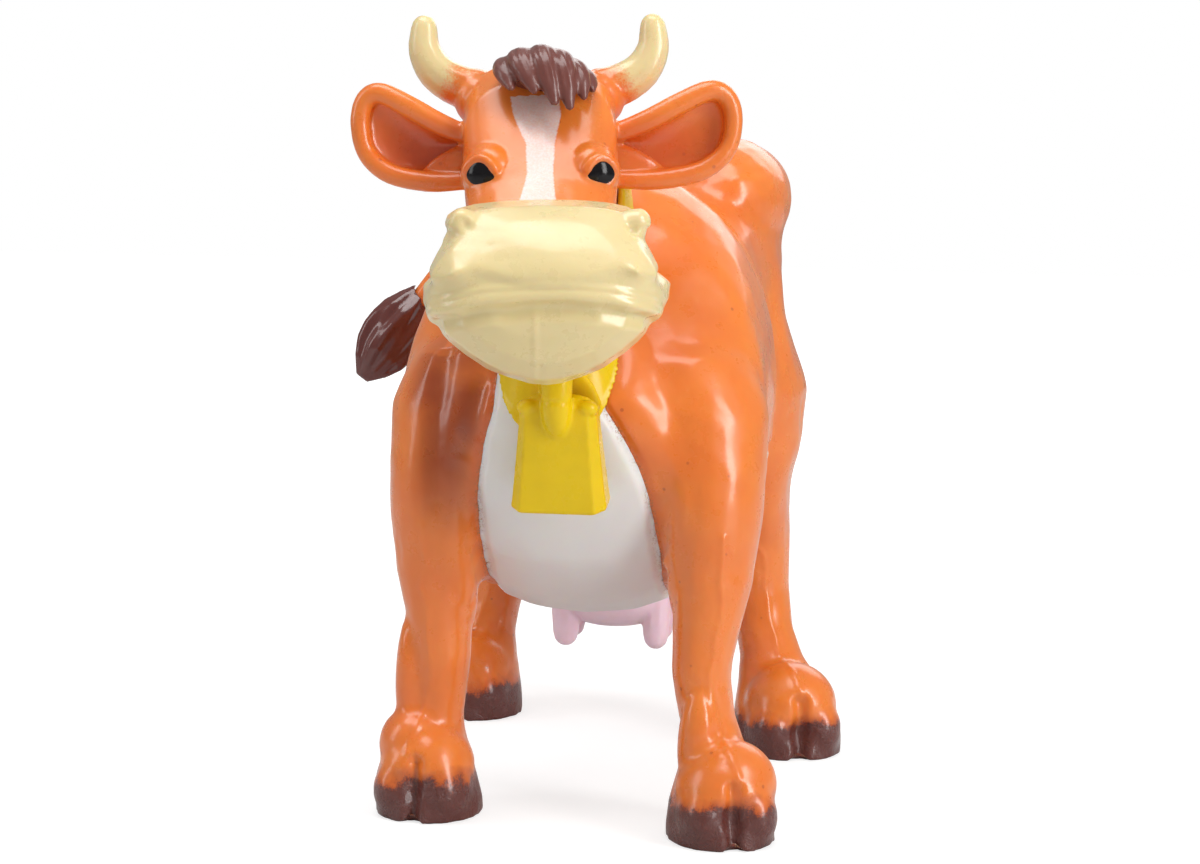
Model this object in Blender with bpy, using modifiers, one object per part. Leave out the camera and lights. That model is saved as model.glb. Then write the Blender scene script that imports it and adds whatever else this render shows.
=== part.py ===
"""Toy farm cow: a moulded figure glued together from pieces that plug into each other.

Metres, +Z up. The nose points towards -Y and the cow's own left is +X. The origin
is on the floor, under the middle of the figure's bounding box.
"""

import math

import bmesh
import bpy
from mathutils import Matrix, Vector

# Fits
FIT_GAP = 0.0003
CUT_OVERRUN = 0.004
PEG_ROOT = 0.0018

# Skin of the body, before it is split into pieces
SKIN_VOXEL = 0.0010
SKIN_SMOOTHING_STEPS = 9
SKIN_TRIANGLES = 5200
SECTION_POINTS = 28

# Trunk
BODY_LENGTH = 0.066
BODY_DEPTH = 0.0528
BODY_WIDTH = 0.0420
BELLY_HEIGHT = 0.0205

# Neck and the joint with the head
NECK_WIDTH = 0.0172
NECK_LEAN = 0.0040
NECK_DEPTH_SHARE = 0.80
HEAD_TURN = math.radians(9)
HEAD_TILT = math.radians(1.5)
NECK_PEG_RADIUS = 0.0034
NECK_PEG_LENGTH = 0.0052

# Legs
FRONT_LEG_TOP_SHARE = 0.56
REAR_LEG_TOP_SHARE = 0.73
FRONT_LEG_TOP = BELLY_HEIGHT + FRONT_LEG_TOP_SHARE * BODY_DEPTH
REAR_LEG_TOP = BELLY_HEIGHT + REAR_LEG_TOP_SHARE * BODY_DEPTH
FRONT_STANCE_SHARE = 0.79
REAR_STANCE_SHARE = 1.02
LEG_WIDTH_SHARE = 0.195
FRONT_STANCE = FRONT_STANCE_SHARE * BODY_WIDTH
REAR_STANCE = REAR_STANCE_SHARE * BODY_WIDTH
LEG_WIDTH = LEG_WIDTH_SHARE * BODY_WIDTH
LEG_LENGTHWAYS = 0.0094
FRONT_LEG_FORWARD_SHARE = 0.378
REAR_LEG_BACK_SHARE = 0.312
FRONT_STRIDE = 0.0028
REAR_STRIDE = 0.0072
STANCE_SHIFT = 0.0010
LEG_SEAT_SLOPE = math.radians(45)
LEG_PEG_RADIUS = 0.0024
LEG_PEG_LENGTH = 0.0055
SOLE_ALLOWANCE = 0.0020
REGION_SPREAD_SHARE = 1.25
CLEFT_WIDTH = 0.0012
CLEFT_HEIGHT = 0.0050
CLEFT_REACH = 0.0026
LEFT_TOE_OUT = math.radians(18)
RIGHT_TOE_OUT = math.radians(6)

# White insert of the breast and belly
BREAST_PANEL_DEPTH = 0.0034
BREAST_PANEL_WIDTH_SHARE = 0.476
BREAST_PANEL_WIDTH = BREAST_PANEL_WIDTH_SHARE * BODY_WIDTH
BELLY_PANEL_DEPTH = 0.0150

# Udder
UDDER_WIDTH_SHARE = 0.452
UDDER_WIDTH = UDDER_WIDTH_SHARE * BODY_WIDTH
UDDER_LENGTH = 0.0150
UDDER_DROP = 0.0056
UDDER_DEPTH = 0.0066
UDDER_BACK_SHARE = 0.215
TEAT_RADIUS = 0.0016
TEAT_LENGTH = 0.0018

# Collar and bell
COLLAR_BREADTH = 0.0042
COLLAR_THICKNESS = 0.0010
BELL_HEIGHT = 0.0122
BELL_MOUTH_WIDTH = 0.0102
BELL_MOUTH_LENGTHWAYS = 0.0058
BELL_TOP_SHARE = (0.84, 0.62)
BELL_EDGE = 0.0007
BELL_TILT = math.radians(12)
HANGER_RADIUS = 0.0013
BELL_SINK = 0.0007

# Head
HEAD_LENGTH = 0.0360
HEAD_DEPTH = 0.0255
HEAD_WIDTH = 0.0164
MUZZLE_LENGTH = 0.0145
MUZZLE_DEPTH = 0.0115
MUZZLE_WIDTH = 0.0238
MUZZLE_PEG_RADIUS = 0.0026
MUZZLE_PEG_LENGTH = 0.0050
NOSTRIL_RADIUS = 0.0011
JAW_LENGTH = 0.0167
JAW_DEPTH = 0.0125
JAW_WIDTH = 0.0205
JAW_PEG_RADIUS = 0.0016
JAW_PEG_LENGTH = 0.0036
EYE_RADIUS = 0.0027

# Ears
EAR_LENGTH = 0.0124
EAR_BREADTH = 0.0112
EAR_THICKNESS = 0.0014
EAR_CUP = 0.0026
EAR_RISE = math.radians(13)
EAR_STALK_RADIUS = 0.0024
EAR_PEG_RADIUS = 0.0016
EAR_PEG_LENGTH = 0.0026

# Horns
HORN_SPREAD = 0.0061
HORN_RISE = 0.0068
HORN_RADIUS = 0.0024
HORN_PEG_RADIUS = 0.0014
HORN_PEG_LENGTH = 0.0030

# Forelock
FORELOCK_WIDTH = 0.0086
FORELOCK_LENGTH = 0.0100
FORELOCK_THICKNESS = 0.0022
LOCK_RADIUS = 0.0017
FORELOCK_VOXEL = 0.0005
FORELOCK_TRIANGLES = 900

# Tail
TAIL_RADIUS = 0.0017
TAIL_REACH = 0.0288
TAIL_DROP = 0.0130
TAIL_PEG_LENGTH = 0.0040
TUFT_LENGTH = 0.0145
TUFT_RADIUS = 0.0043
TUFT_SOCKET = 0.0024

# Trunk sections from rump to breast: dorsal y and z, ventral y and z, half width,
# how high the widest level lies, roundness. Lengths are shares of the body's own.
TRUNK_SHARES = [
    (0.490, 0.800, 0.500, 0.540, 0.26, 0.10, 1.00),
    (0.474, 0.905, 0.488, 0.400, 0.62, 0.30, 0.88),
    (0.430, 0.985, 0.455, 0.260, 0.86, 0.44, 0.76),
    (0.345, 1.005, 0.380, 0.140, 0.94, 0.46, 0.72),
    (0.200, 0.966, 0.220, 0.050, 0.94, 0.26, 0.80),
    (0.045, 0.948, 0.045, 0.006, 0.98, 0.04, 0.86),
    (-0.121, 0.984, -0.106, 0.000, 0.98, 0.00, 0.86),
    (-0.197, 0.954, -0.220, 0.012, 0.97, 0.00, 0.86),
    (-0.265, 0.895, -0.311, 0.055, 0.95, 0.00, 0.86),
    (-0.333, 0.780, -0.394, 0.152, 0.84, -0.05, 0.92),
    (-0.402, 0.650, -0.455, 0.291, 0.64, -0.05, 0.95),
    (-0.455, 0.570, -0.489, 0.420, 0.38, 0.00, 1.00),
    (-0.477, 0.540, -0.500, 0.480, 0.18, 0.00, 1.00),
]

# Neck sections from shoulders to poll: dorsal y and z, ventral y and z, width. The
# heights are measured from the withers in the neck's own depth.
NECK_SHARES = [
    (-0.030, 0.192, -0.424, -1.447, 1.50),
    (-0.091, 0.396, -0.470, -1.141, 1.06),
    (-0.152, 0.567, -0.489, -0.885, 0.86),
    (-0.212, 0.668, -0.489, -0.652, 0.81),
    (-0.273, 0.720, -0.485, -0.422, 0.84),
    (-0.326, 0.730, -0.488, -0.269, 0.91),
    (-0.386, 0.756, -0.515, -0.116, 0.94),
]
HEAD_JOINT_SECTION = 5
WITHERS_SHARE = 0.90

# Hook bones of the hips: place on the trunk and half sizes as shares of its width.
HIP_PLACE_SHARE = (0.61, 0.330, 0.915)
HIP_SIZE_SHARE = (0.39, 0.62, 0.36)

# Head sections from neck to nose, measured from the head joint: dorsal y and z,
# ventral y and z, half width, height of the widest level, roundness.
HEAD_SHARES = [
    (0.1625, 0.363, -0.121, -0.402, 0.98, 0.10, 0.88),
    (0.079, 0.418, -0.171, -0.469, 1.00, 0.20, 0.82),
    (-0.046, 0.425, -0.240, -0.524, 1.00, 0.28, 0.80),
    (-0.157, 0.331, -0.310, -0.563, 1.00, 0.30, 0.80),
    (-0.254, 0.151, -0.379, -0.590, 0.96, 0.24, 0.84),
    (-0.365, -0.049, -0.449, -0.618, 0.90, 0.10, 0.88),
    (-0.490, -0.206, -0.532, -0.637, 0.84, 0.00, 0.92),
    (-0.574, -0.324, -0.601, -0.618, 0.72, 0.00, 1.00),
]
NOSE_FORWARD_SHARE = 0.460
NOSE_DROP_SHARE = 0.382

# Muzzle and jaw sections, measured from the middle of the nose seam.
MUZZLE_SHARES = [
    (0.020, 0.420, 0.020, -0.400, 0.74, 0.00, 0.88),
    (-0.075, 0.490, -0.062, -0.340, 0.88, 0.00, 0.84),
    (-0.290, 0.510, -0.234, -0.290, 0.97, 0.00, 0.80),
    (-0.566, 0.455, -0.480, -0.275, 1.00, -0.08, 0.80),
    (-0.800, 0.300, -0.720, -0.270, 0.93, -0.15, 0.82),
    (-0.940, 0.100, -0.880, -0.260, 0.76, -0.15, 0.86),
    (-1.000, -0.060, -0.970, -0.230, 0.52, 0.00, 0.95),
]
JAW_SHARES = [
    (0.293, -0.240, 0.263, -0.600, 0.50, 0.20, 0.95),
    (0.084, -0.160, 0.114, -0.840, 0.76, 0.30, 0.90),
    (-0.186, -0.160, -0.156, -0.976, 0.98, 0.40, 0.88),
    (-0.455, -0.180, -0.395, -0.992, 1.02, 0.45, 0.88),
    (-0.665, -0.200, -0.575, -0.930, 0.94, 0.45, 0.90),
    (-0.784, -0.240, -0.707, -0.780, 0.74, 0.40, 0.95),
    (-0.832, -0.300, -0.784, -0.580, 0.46, 0.20, 1.00),
]

# Leg sections from top to sole: height, sideways place as a share of the stance's
# half, lengthways place as a share of the leg's length, half width, half lengthways.
FRONT_LEG_SHARES = [
    (1.04, 0.74, 0.10, 1.30, 1.50),
    (0.92, 0.85, 0.08, 1.56, 1.75),
    (0.80, 0.91, 0.05, 1.46, 1.68),
    (0.68, 0.93, 0.025, 1.28, 1.42),
    (0.56, 0.94, 0.005, 1.12, 1.16),
    (0.45, 0.91, -0.008, 0.90, 0.98),
    (0.375, 0.885, -0.018, 0.82, 0.92),
    (0.28, 0.93, -0.016, 0.78, 0.82),
    (0.225, 0.97, -0.018, 0.86, 0.88),
    (0.185, 1.00, -0.030, 1.10, 1.08),
    (0.145, 1.02, -0.045, 1.32, 1.28),
    (0.100, 1.01, -0.058, 1.46, 1.40),
    (0.050, 1.00, -0.062, 1.50, 1.46),
    (0.000, 1.00, -0.062, 1.44, 1.44),
]
REAR_LEG_SHARES = [
    (1.02, 0.60, -0.02, 1.72, 2.25),
    (0.89, 0.69, -0.010, 1.78, 2.45),
    (0.77, 0.755, 0.005, 1.72, 2.35),
    (0.65, 0.79, 0.022, 1.54, 2.00),
    (0.54, 0.81, 0.048, 1.32, 1.58),
    (0.44, 0.80, 0.076, 1.12, 1.22),
    (0.355, 0.82, 0.092, 1.03, 1.06),
    (0.27, 0.86, 0.076, 0.93, 0.93),
    (0.21, 0.91, 0.050, 1.00, 0.96),
    (0.175, 0.95, 0.032, 1.24, 1.18),
    (0.132, 0.985, 0.010, 1.52, 1.42),
    (0.085, 1.00, -0.002, 1.68, 1.56),
    (0.042, 1.00, -0.008, 1.70, 1.60),
    (0.000, 1.00, -0.008, 1.65, 1.58),
]

# White insert along the underside from throat to udder: y and z on the body's
# middle line, half width and depth of the panel's own sizes, and how far it lies
# to the right of the middle, in panel widths.
INSERT_SHARES = [
    (-0.474, 0.600, 0.60, 1.00, 0.094),
    (-0.500, 0.500, 0.63, 1.00, 0.083),
    (-0.489, 0.420, 0.79, 1.00, 0.060),
    (-0.455, 0.291, 0.94, 1.00, 0.035),
    (-0.394, 0.152, 0.96, 1.00, 0.010),
    (-0.311, 0.055, 0.96, 1.00, 0),
    (-0.220, 0.012, 0.98, 1.15, 0),
    (-0.170, 0.004, 1.25, 2.20, 0),
    (-0.106, 0.000, 2.15, 4.10, 0),
    (-0.020, 0.002, 2.30, 5.30, 0),
    (0.060, 0.010, 2.30, 5.60, 0),
    (0.115, 0.020, 2.20, 4.80, 0),
    (0.150, 0.030, 1.10, 2.80, 0),
    (0.190, 0.044, 0.80, 1.10, 0),
]

# Places on the body and head
UDDER_TEATS_SHARE = (0.60, 0.42)
COLLAR_LINE_SHARE = ((-0.190, 0.544), (-0.505, -0.880))
TAIL_ROOT_SHARE = (0.455, 0.900)
TAIL_PATH_SHARES = [
    (0.00, 0.00, 0.00),
    (-0.08, 0.18, 0.00),
    (-0.27, 0.28, -0.12),
    (-0.52, 0.30, -0.33),
    (-0.75, 0.27, -0.56),
    (-0.92, 0.23, -0.78),
    (-1.00, 0.20, -1.00),
]
TUFT_RADIUS_SHARES = [0.46, 0.74, 0.95, 1.00, 0.98, 0.88, 0.62, 0.22]
TUFT_FLATNESS_SHARE = 0.72
EYE_PLACE_SHARE = (0.64, -0.268, -0.045)
EAR_PLACE_SHARE = (0.90, -0.115, 0.020)
EAR_CHORD_SHARES = [0.66, 0.82, 0.94, 1.00, 1.00, 0.94, 0.68]
HORN_PLACE_SHARE = (0.76, -0.004, 0.300)
HORN_PATH_SHARES = [
    (-0.50, 0.00, -0.12),
    (0.00, 0.00, 0.00),
    (0.42, 0.00, 0.10),
    (0.80, 0.00, 0.32),
    (1.00, 0.02, 0.66),
    (1.00, 0.04, 1.00),
]
HORN_RADIUS_SHARES = [1.04, 1.00, 0.95, 0.86, 0.74, 0.60]
FORELOCK_PLACE_SHARE = (-0.075, 0.410, 0.10)
FORELOCK_LOCK_SHARES = [
    (-0.42, 0.52, -0.10),
    (-0.22, 0.84, -0.06),
    (0.02, 1.00, 0.05),
    (0.24, 0.78, 0.12),
    (0.44, 0.50, 0.14),
]
NOSTRIL_PLACE_SHARE = (0.52, -0.800, 0.120)

# Colours as linear red, green, blue, then roughness
ORANGE = ((0.80, 0.235, 0.048), 0.34)
WHITE = ((0.78, 0.76, 0.75), 0.50)
CREAM = ((0.83, 0.72, 0.40), 0.45)
YELLOW = ((0.82, 0.57, 0.01), 0.36)
PINK = ((0.76, 0.47, 0.60), 0.45)
BROWN = ((0.115, 0.038, 0.034), 0.38)
BLACK = ((0.012, 0.010, 0.010), 0.15)


# Scene

def clear_scene():
    for old in list(bpy.data.objects):
        bpy.data.objects.remove(old)


def new_collection(name):
    collection = bpy.data.collections.new(name)
    bpy.context.scene.collection.children.link(collection)
    return collection


def plastic(name, finish):
    colour, roughness = finish
    material = bpy.data.materials.new(name)
    material.use_nodes = True
    shader = material.node_tree.nodes["Principled BSDF"]
    shader.inputs["Base Color"].default_value = (*colour, 1)
    shader.inputs["Roughness"].default_value = roughness
    shader.inputs["Metallic"].default_value = 0
    return material


def add_object(name, mesh, collection, material=None):
    made = bpy.data.objects.new(name, mesh)
    collection.objects.link(made)
    if material:
        mesh.materials.clear()
        mesh.materials.append(material)
    return made


def as_cutter(made):
    made.hide_render = True
    made.display_type = "WIRE"
    return made


def mesh_from(name, build):
    """A mesh that the function build fills, with its faces turned outwards."""
    shape = bmesh.new()
    build(shape)
    bmesh.ops.recalc_face_normals(shape, faces=shape.faces)
    mesh = bpy.data.meshes.new(name)
    shape.to_mesh(mesh)
    shape.free()
    mesh.shade_smooth()
    return mesh


def baked(source, name):
    """The mesh of an object with its modifiers applied."""
    bpy.context.view_layer.update()
    graph = bpy.context.evaluated_depsgraph_get()
    mesh = bpy.data.meshes.new_from_object(source.evaluated_get(graph))
    mesh.name = name
    return mesh


# Booleans

def boolean(target, other, operation):
    modifier = target.modifiers.new(other.name, "BOOLEAN")
    modifier.operation = operation
    modifier.solver = "EXACT"
    modifier.object = other


def cut(target, *others):
    for other in others:
        boolean(target, other, "DIFFERENCE")


def join(target, *others):
    for other in others:
        boolean(target, other, "UNION")


def keep_inside(target, other):
    boolean(target, other, "INTERSECT")


def grown_copy(source, name, amount):
    """A cutter as source is now, with its skin moved outwards."""
    made = as_cutter(add_object(name, baked(source, name), CUTTERS))
    displace = made.modifiers.new("grow", "DISPLACE")
    displace.strength = amount
    displace.mid_level = 0
    return made


# Shapes

def section(dorsal, ventral, half_width, lift, roundness, aside=Vector((1, 0, 0))):
    """A closed ring between two points of the middle plane, oval across it."""
    centre = (dorsal + ventral) / 2
    rise = (dorsal - ventral) / 2
    ring = []
    for i in range(SECTION_POINTS):
        angle = 2 * math.pi * i / SECTION_POINTS
        across, up = math.sin(angle), math.cos(angle)
        across = math.copysign(abs(across) ** roundness, across)
        up = math.copysign(abs(up) ** roundness, up)
        up += lift * (1 - up * up)
        ring.append(centre + rise * up + aside * half_width * across)
    return ring


def add_loft(shape, rings):
    """Skins a row of rings with triangles and closes both ends."""
    rows = [[shape.verts.new(point) for point in ring] for ring in rings]
    for first, second in zip(rows, rows[1:]):
        for i in range(len(first)):
            j = (i + 1) % len(first)
            shape.faces.new((first[i], first[j], second[j]))
            shape.faces.new((first[i], second[j], second[i]))
    shape.faces.new(rows[0])
    shape.faces.new(rows[-1])


def loft(name, rings):
    return mesh_from(name, lambda shape: add_loft(shape, rings))


def ellipsoid(name, centre, radii, turn=None, points=20):
    def build(shape):
        bmesh.ops.create_uvsphere(
            shape, u_segments=points, v_segments=points // 2, radius=1
        )
        bmesh.ops.scale(shape, vec=radii, verts=shape.verts)
        if turn:
            bmesh.ops.rotate(shape, matrix=turn, verts=shape.verts)
        bmesh.ops.translate(shape, vec=centre, verts=shape.verts)

    return mesh_from(name, build)


def rod(name, start, end, radius, end_radius=None, points=20):
    """A round bar from start to end, conical where it has an end radius."""
    along = end - start
    turn = along.to_track_quat("Z", "Y").to_matrix()

    def build(shape):
        bmesh.ops.create_cone(
            shape,
            cap_ends=True,
            segments=points,
            radius1=radius,
            radius2=radius if end_radius is None else end_radius,
            depth=along.length,
        )
        bmesh.ops.rotate(shape, matrix=turn, verts=shape.verts)
        bmesh.ops.translate(shape, vec=(start + end) / 2, verts=shape.verts)

    return mesh_from(name, build)


def block(name, centre, sizes, turn=None):
    def build(shape):
        bmesh.ops.create_cube(shape, size=1)
        bmesh.ops.scale(shape, vec=sizes, verts=shape.verts)
        if turn:
            bmesh.ops.rotate(shape, matrix=turn, verts=shape.verts)
        bmesh.ops.translate(shape, vec=centre, verts=shape.verts)

    return mesh_from(name, build)


def half_space(name, point, normal):
    """A block that holds all that lies ahead of a plane."""
    reach = 2 * (BODY_LENGTH + HEAD_LENGTH)
    turn = normal.to_track_quat("Z", "Y").to_matrix()
    centre = point + normal * (reach / 2)
    return as_cutter(
        add_object(name, block(name, centre, (reach, reach, reach), turn), CUTTERS)
    )


def smooth_path(points, steps):
    """Points on a smooth curve through the given ones, steps to a stretch."""
    path = []
    ends = [points[0] * 2 - points[1]] + points + [points[-1] * 2 - points[-2]]
    for a, b, c, d in zip(ends, ends[1:], ends[2:], ends[3:]):
        for i in range(steps):
            t = i / steps
            path.append(
                (
                    b * 2
                    + (c - a) * t
                    + (a * 2 - b * 5 + c * 4 - d) * t**2
                    + (b * 3 - a - c * 3 + d) * t**3
                )
                / 2
            )
    return path + [points[-1]]


def tube(name, path, radii, sides_level):
    """A round bar along a path, as thick at each point as radii says."""
    curve = bpy.data.curves.new(name, "CURVE")
    curve.dimensions = "3D"
    curve.bevel_depth = max(radii)
    curve.bevel_resolution = sides_level
    curve.use_fill_caps = True
    spline = curve.splines.new("POLY")
    spline.points.add(len(path) - 1)
    for point, place, radius in zip(spline.points, path, radii):
        point.co = (*place, 1)
        point.radius = radius / curve.bevel_depth
    guide = bpy.data.objects.new(name, curve)
    CUTTERS.objects.link(guide)
    mesh = baked(guide, name)
    bpy.data.objects.remove(guide)
    shape = bmesh.new()
    shape.from_mesh(mesh)
    bmesh.ops.remove_doubles(shape, verts=shape.verts, dist=FIT_GAP / 30)
    bmesh.ops.recalc_face_normals(shape, faces=shape.faces)
    shape.to_mesh(mesh)
    shape.free()
    mesh.shade_smooth()
    return mesh


def rounded_end(path, radii, end_radius):
    """Adds a dome of shrinking rings to the end of a tube's path."""
    along = (path[-1] - path[-2]).normalized()
    tip = path[-1].copy()
    for angle in (30, 55, 75, 88):
        share = math.radians(angle)
        path.append(tip + along * end_radius * math.sin(share))
        radii.append(end_radius * math.cos(share))


def spread(shares, count):
    """count values read evenly from a list of shares."""
    values = []
    for i in range(count):
        place = i * (len(shares) - 1) / (count - 1)
        low = min(int(place), len(shares) - 2)
        values.append(shares[low] + (shares[low + 1] - shares[low]) * (place - low))
    return values


def plug(name, piece, host, seat, direction, radius, length):
    """A peg on piece that runs from its seat into a socket of host."""
    start = seat - direction * PEG_ROOT
    peg = rod(f"{name}_peg", start, seat + direction * length, radius)
    join(piece, as_cutter(add_object(f"{name}_peg", peg, CUTTERS)))
    start = seat - direction * CUT_OVERRUN / 2
    end = seat + direction * (length + FIT_GAP)
    socket = rod(f"{name}_socket", start, end, radius + FIT_GAP)
    cut(host, as_cutter(add_object(f"{name}_socket", socket, CUTTERS)))


def merged_skin(name, meshes, voxel, smoothing, triangles):
    """One smooth closed skin round overlapping closed meshes."""
    shape = bmesh.new()
    for mesh in meshes:
        shape.from_mesh(mesh)
    mesh = bpy.data.meshes.new(name)
    shape.to_mesh(mesh)
    shape.free()
    rough = as_cutter(add_object(name, mesh, CUTTERS))
    remesh = rough.modifiers.new("merge", "REMESH")
    remesh.mode = "VOXEL"
    remesh.voxel_size = voxel
    smooth = rough.modifiers.new("soften", "SMOOTH")
    smooth.factor = 0.5
    smooth.iterations = smoothing
    fine = len(baked(rough, name).polygons)
    decimate = rough.modifiers.new("thin out", "DECIMATE")
    decimate.ratio = min(1, triangles / (2 * fine))
    skin = baked(rough, name)
    skin.shade_smooth()
    bpy.data.objects.remove(rough)
    return skin


# Places

def on_body(y_share, z_share, x=0):
    return Vector((x, y_share * BODY_LENGTH, BELLY_HEIGHT + z_share * BODY_DEPTH))


def on_neck(y_share, z_share, x=0):
    depth = NECK_DEPTH_SHARE * HEAD_DEPTH
    return on_body(y_share, WITHERS_SHARE, x) + Vector((0, 0, z_share * depth))


def neck_bend(section_index):
    """How far along the neck's bend one of its sections lies."""
    return min(section_index / HEAD_JOINT_SECTION, 1)


def head_joint():
    """The middle of the neck's end and the direction in which the head leaves it."""
    dorsal_y, dorsal_z, ventral_y, ventral_z, _ = NECK_SHARES[HEAD_JOINT_SECTION]
    dorsal = on_neck(dorsal_y, dorsal_z, -NECK_LEAN)
    ventral = on_neck(ventral_y, ventral_z, -NECK_LEAN)
    rise = (dorsal - ventral).normalized()
    return (dorsal + ventral) / 2, headed(Vector((1, 0, 0)).cross(rise))


def head_turn():
    """The head looks a little to its left and leans to its right."""
    return Matrix.Rotation(HEAD_TURN, 3, "Z") @ Matrix.Rotation(-HEAD_TILT, 3, "Y")


def headed(vector):
    """A direction of the straight head in the turned head."""
    return head_turn() @ vector


def on_head(y_share, z_share, x_share=0):
    joint, _ = head_joint()
    place = (x_share * HEAD_WIDTH / 2, y_share * HEAD_LENGTH, z_share * HEAD_DEPTH)
    return joint + headed(Vector(place))


def nose_seam():
    return on_head(-NOSE_FORWARD_SHARE, -NOSE_DROP_SHARE)


# Body

def trunk_mesh():
    rings = []
    for row in TRUNK_SHARES:
        dorsal_y, dorsal_z, ventral_y, ventral_z, width, lift, roundness = row
        dorsal, ventral = on_body(dorsal_y, dorsal_z), on_body(ventral_y, ventral_z)
        rings.append(section(dorsal, ventral, width * BODY_WIDTH / 2, lift, roundness))
    return loft("trunk", rings)


def neck_mesh():
    rings = []
    for i, (dorsal_y, dorsal_z, ventral_y, ventral_z, width) in enumerate(NECK_SHARES):
        lean = -NECK_LEAN * neck_bend(i)
        dorsal = on_neck(dorsal_y, dorsal_z, lean)
        ventral = on_neck(ventral_y, ventral_z, lean)
        ring = section(dorsal, ventral, width * NECK_WIDTH / 2, 0, 1)
        turn = Matrix.Rotation(HEAD_TURN * neck_bend(i), 3, "Z")
        centre = (dorsal + ventral) / 2
        rings.append([centre + turn @ (point - centre) for point in ring])
    return loft("neck", rings)


def hip_mesh(side):
    across, along, up = HIP_PLACE_SHARE
    half = BODY_WIDTH / 2
    place = on_body(along, up, side * across * half)
    return ellipsoid("hip", place, [share * half for share in HIP_SIZE_SHARE])


def leg_plan(front):
    """What sets a pair of legs apart: sections, top, place, stance and stride."""
    if front:
        place = -FRONT_LEG_FORWARD_SHARE * BODY_LENGTH
        return FRONT_LEG_SHARES, FRONT_LEG_TOP, place, FRONT_STANCE, FRONT_STRIDE
    place = REAR_LEG_BACK_SHARE * BODY_LENGTH
    return REAR_LEG_SHARES, REAR_LEG_TOP, place, REAR_STANCE, REAR_STRIDE


def leg_point(front, side, row):
    """The centre of one leg section. The left legs are a stride ahead."""
    _, top, place, stance, stride = leg_plan(front)
    height, across, along, _, _ = row
    step = -side * stride * (1 - height)
    x = side * across * stance / 2 + STANCE_SHIFT * max(0, 1 - 3 * height)
    z = height * (top + SOLE_ALLOWANCE) - SOLE_ALLOWANCE
    return Vector((x, place + along * top + step, z))


def toe_direction(side, share=1):
    """Ahead and to the outside as seen from a foot, turned out by a share."""
    toe = share * (LEFT_TOE_OUT if side > 0 else -RIGHT_TOE_OUT)
    ahead = Vector((math.sin(toe), -math.cos(toe), 0))
    return ahead, Vector((math.cos(toe), math.sin(toe), 0))


def leg_mesh(front, side):
    shares, _, _, _, _ = leg_plan(front)
    rings = []
    for row in shares:
        centre = leg_point(front, side, row)
        ahead, aside = toe_direction(side, max(0, 1 - 3 * row[0]))
        half_width, half_length = row[3] * LEG_WIDTH / 2, row[4] * LEG_LENGTHWAYS / 2
        rings.append(
            [
                centre
                + ahead * half_length * math.cos(2 * math.pi * i / SECTION_POINTS)
                + aside * half_width * math.sin(2 * math.pi * i / SECTION_POINTS)
                for i in range(SECTION_POINTS)
            ]
        )
    return loft("leg", rings)


def body_skin():
    meshes = [trunk_mesh(), neck_mesh(), hip_mesh(1), hip_mesh(-1)]
    meshes += [leg_mesh(front, side) for front in (True, False) for side in (1, -1)]
    return merged_skin(
        "body_skin", meshes, SKIN_VOXEL, SKIN_SMOOTHING_STEPS, SKIN_TRIANGLES
    )


def leg_seat(front, side):
    """The middle of the leg's seam and the direction of its peg into the trunk."""
    share = 4 if front else 3
    shares, _, _, _, _ = leg_plan(front)
    seat = leg_point(front, side, shares[share])
    inwards = Vector((-side * math.sin(LEG_SEAT_SLOPE), 0, math.cos(LEG_SEAT_SLOPE)))
    return seat, inwards


def leg_region(name, front, side, grow):
    """An oval column round one leg, from below the floor up to its slanting seam."""
    shares, _, _, _, _ = leg_plan(front)
    root = shares[3 if front else 2]
    seat, inwards = leg_seat(front, side)
    half_width = root[3] * LEG_WIDTH / 2 + grow
    half_length = root[4] * LEG_LENGTHWAYS / 2 + grow
    sole = leg_point(front, side, shares[-1])
    low, high = [], []
    for i in range(SECTION_POINTS):
        angle = 2 * math.pi * i / SECTION_POINTS
        offset = Vector((half_width * math.sin(angle), half_length * math.cos(angle), 0))
        point = seat + offset
        foot = sole + offset * REGION_SPREAD_SHARE
        low.append(Vector((foot.x, foot.y, -CUT_OVERRUN)))
        rise = -inwards.x * (point.x - seat.x) + grow
        high.append(Vector((point.x, point.y, seat.z + rise / inwards.z)))
    return as_cutter(add_object(name, loft(name, [low, high]), CUTTERS))


def leg_name(front, side):
    return f"{'front' if front else 'rear'}_{'left' if side > 0 else 'right'}_leg"


def cleft_cutter(name, front, side):
    """A wedge that parts the two toes at the front of a hoof."""
    shares, _, _, _, _ = leg_plan(front)
    sole = leg_point(front, side, shares[-1])
    ahead, aside = toe_direction(side)
    half_length = shares[-1][4] * LEG_LENGTHWAYS / 2
    front_edge = sole + ahead * (half_length + CUT_OVERRUN)
    inner_edge = sole + ahead * (half_length - CLEFT_REACH)
    flare = CLEFT_WIDTH * (CLEFT_REACH + CUT_OVERRUN) / CLEFT_REACH / 2
    low = [front_edge - aside * flare, front_edge + aside * flare, inner_edge]
    up = Vector((0, 0, CLEFT_HEIGHT + SOLE_ALLOWANCE + CUT_OVERRUN))
    lean = ahead * CLEFT_REACH
    low = [Vector((p.x, p.y, -CUT_OVERRUN)) for p in low]
    high = [p + up + lean for p in low]
    return as_cutter(add_object(name, loft(name, [low, high]), CUTTERS))


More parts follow.
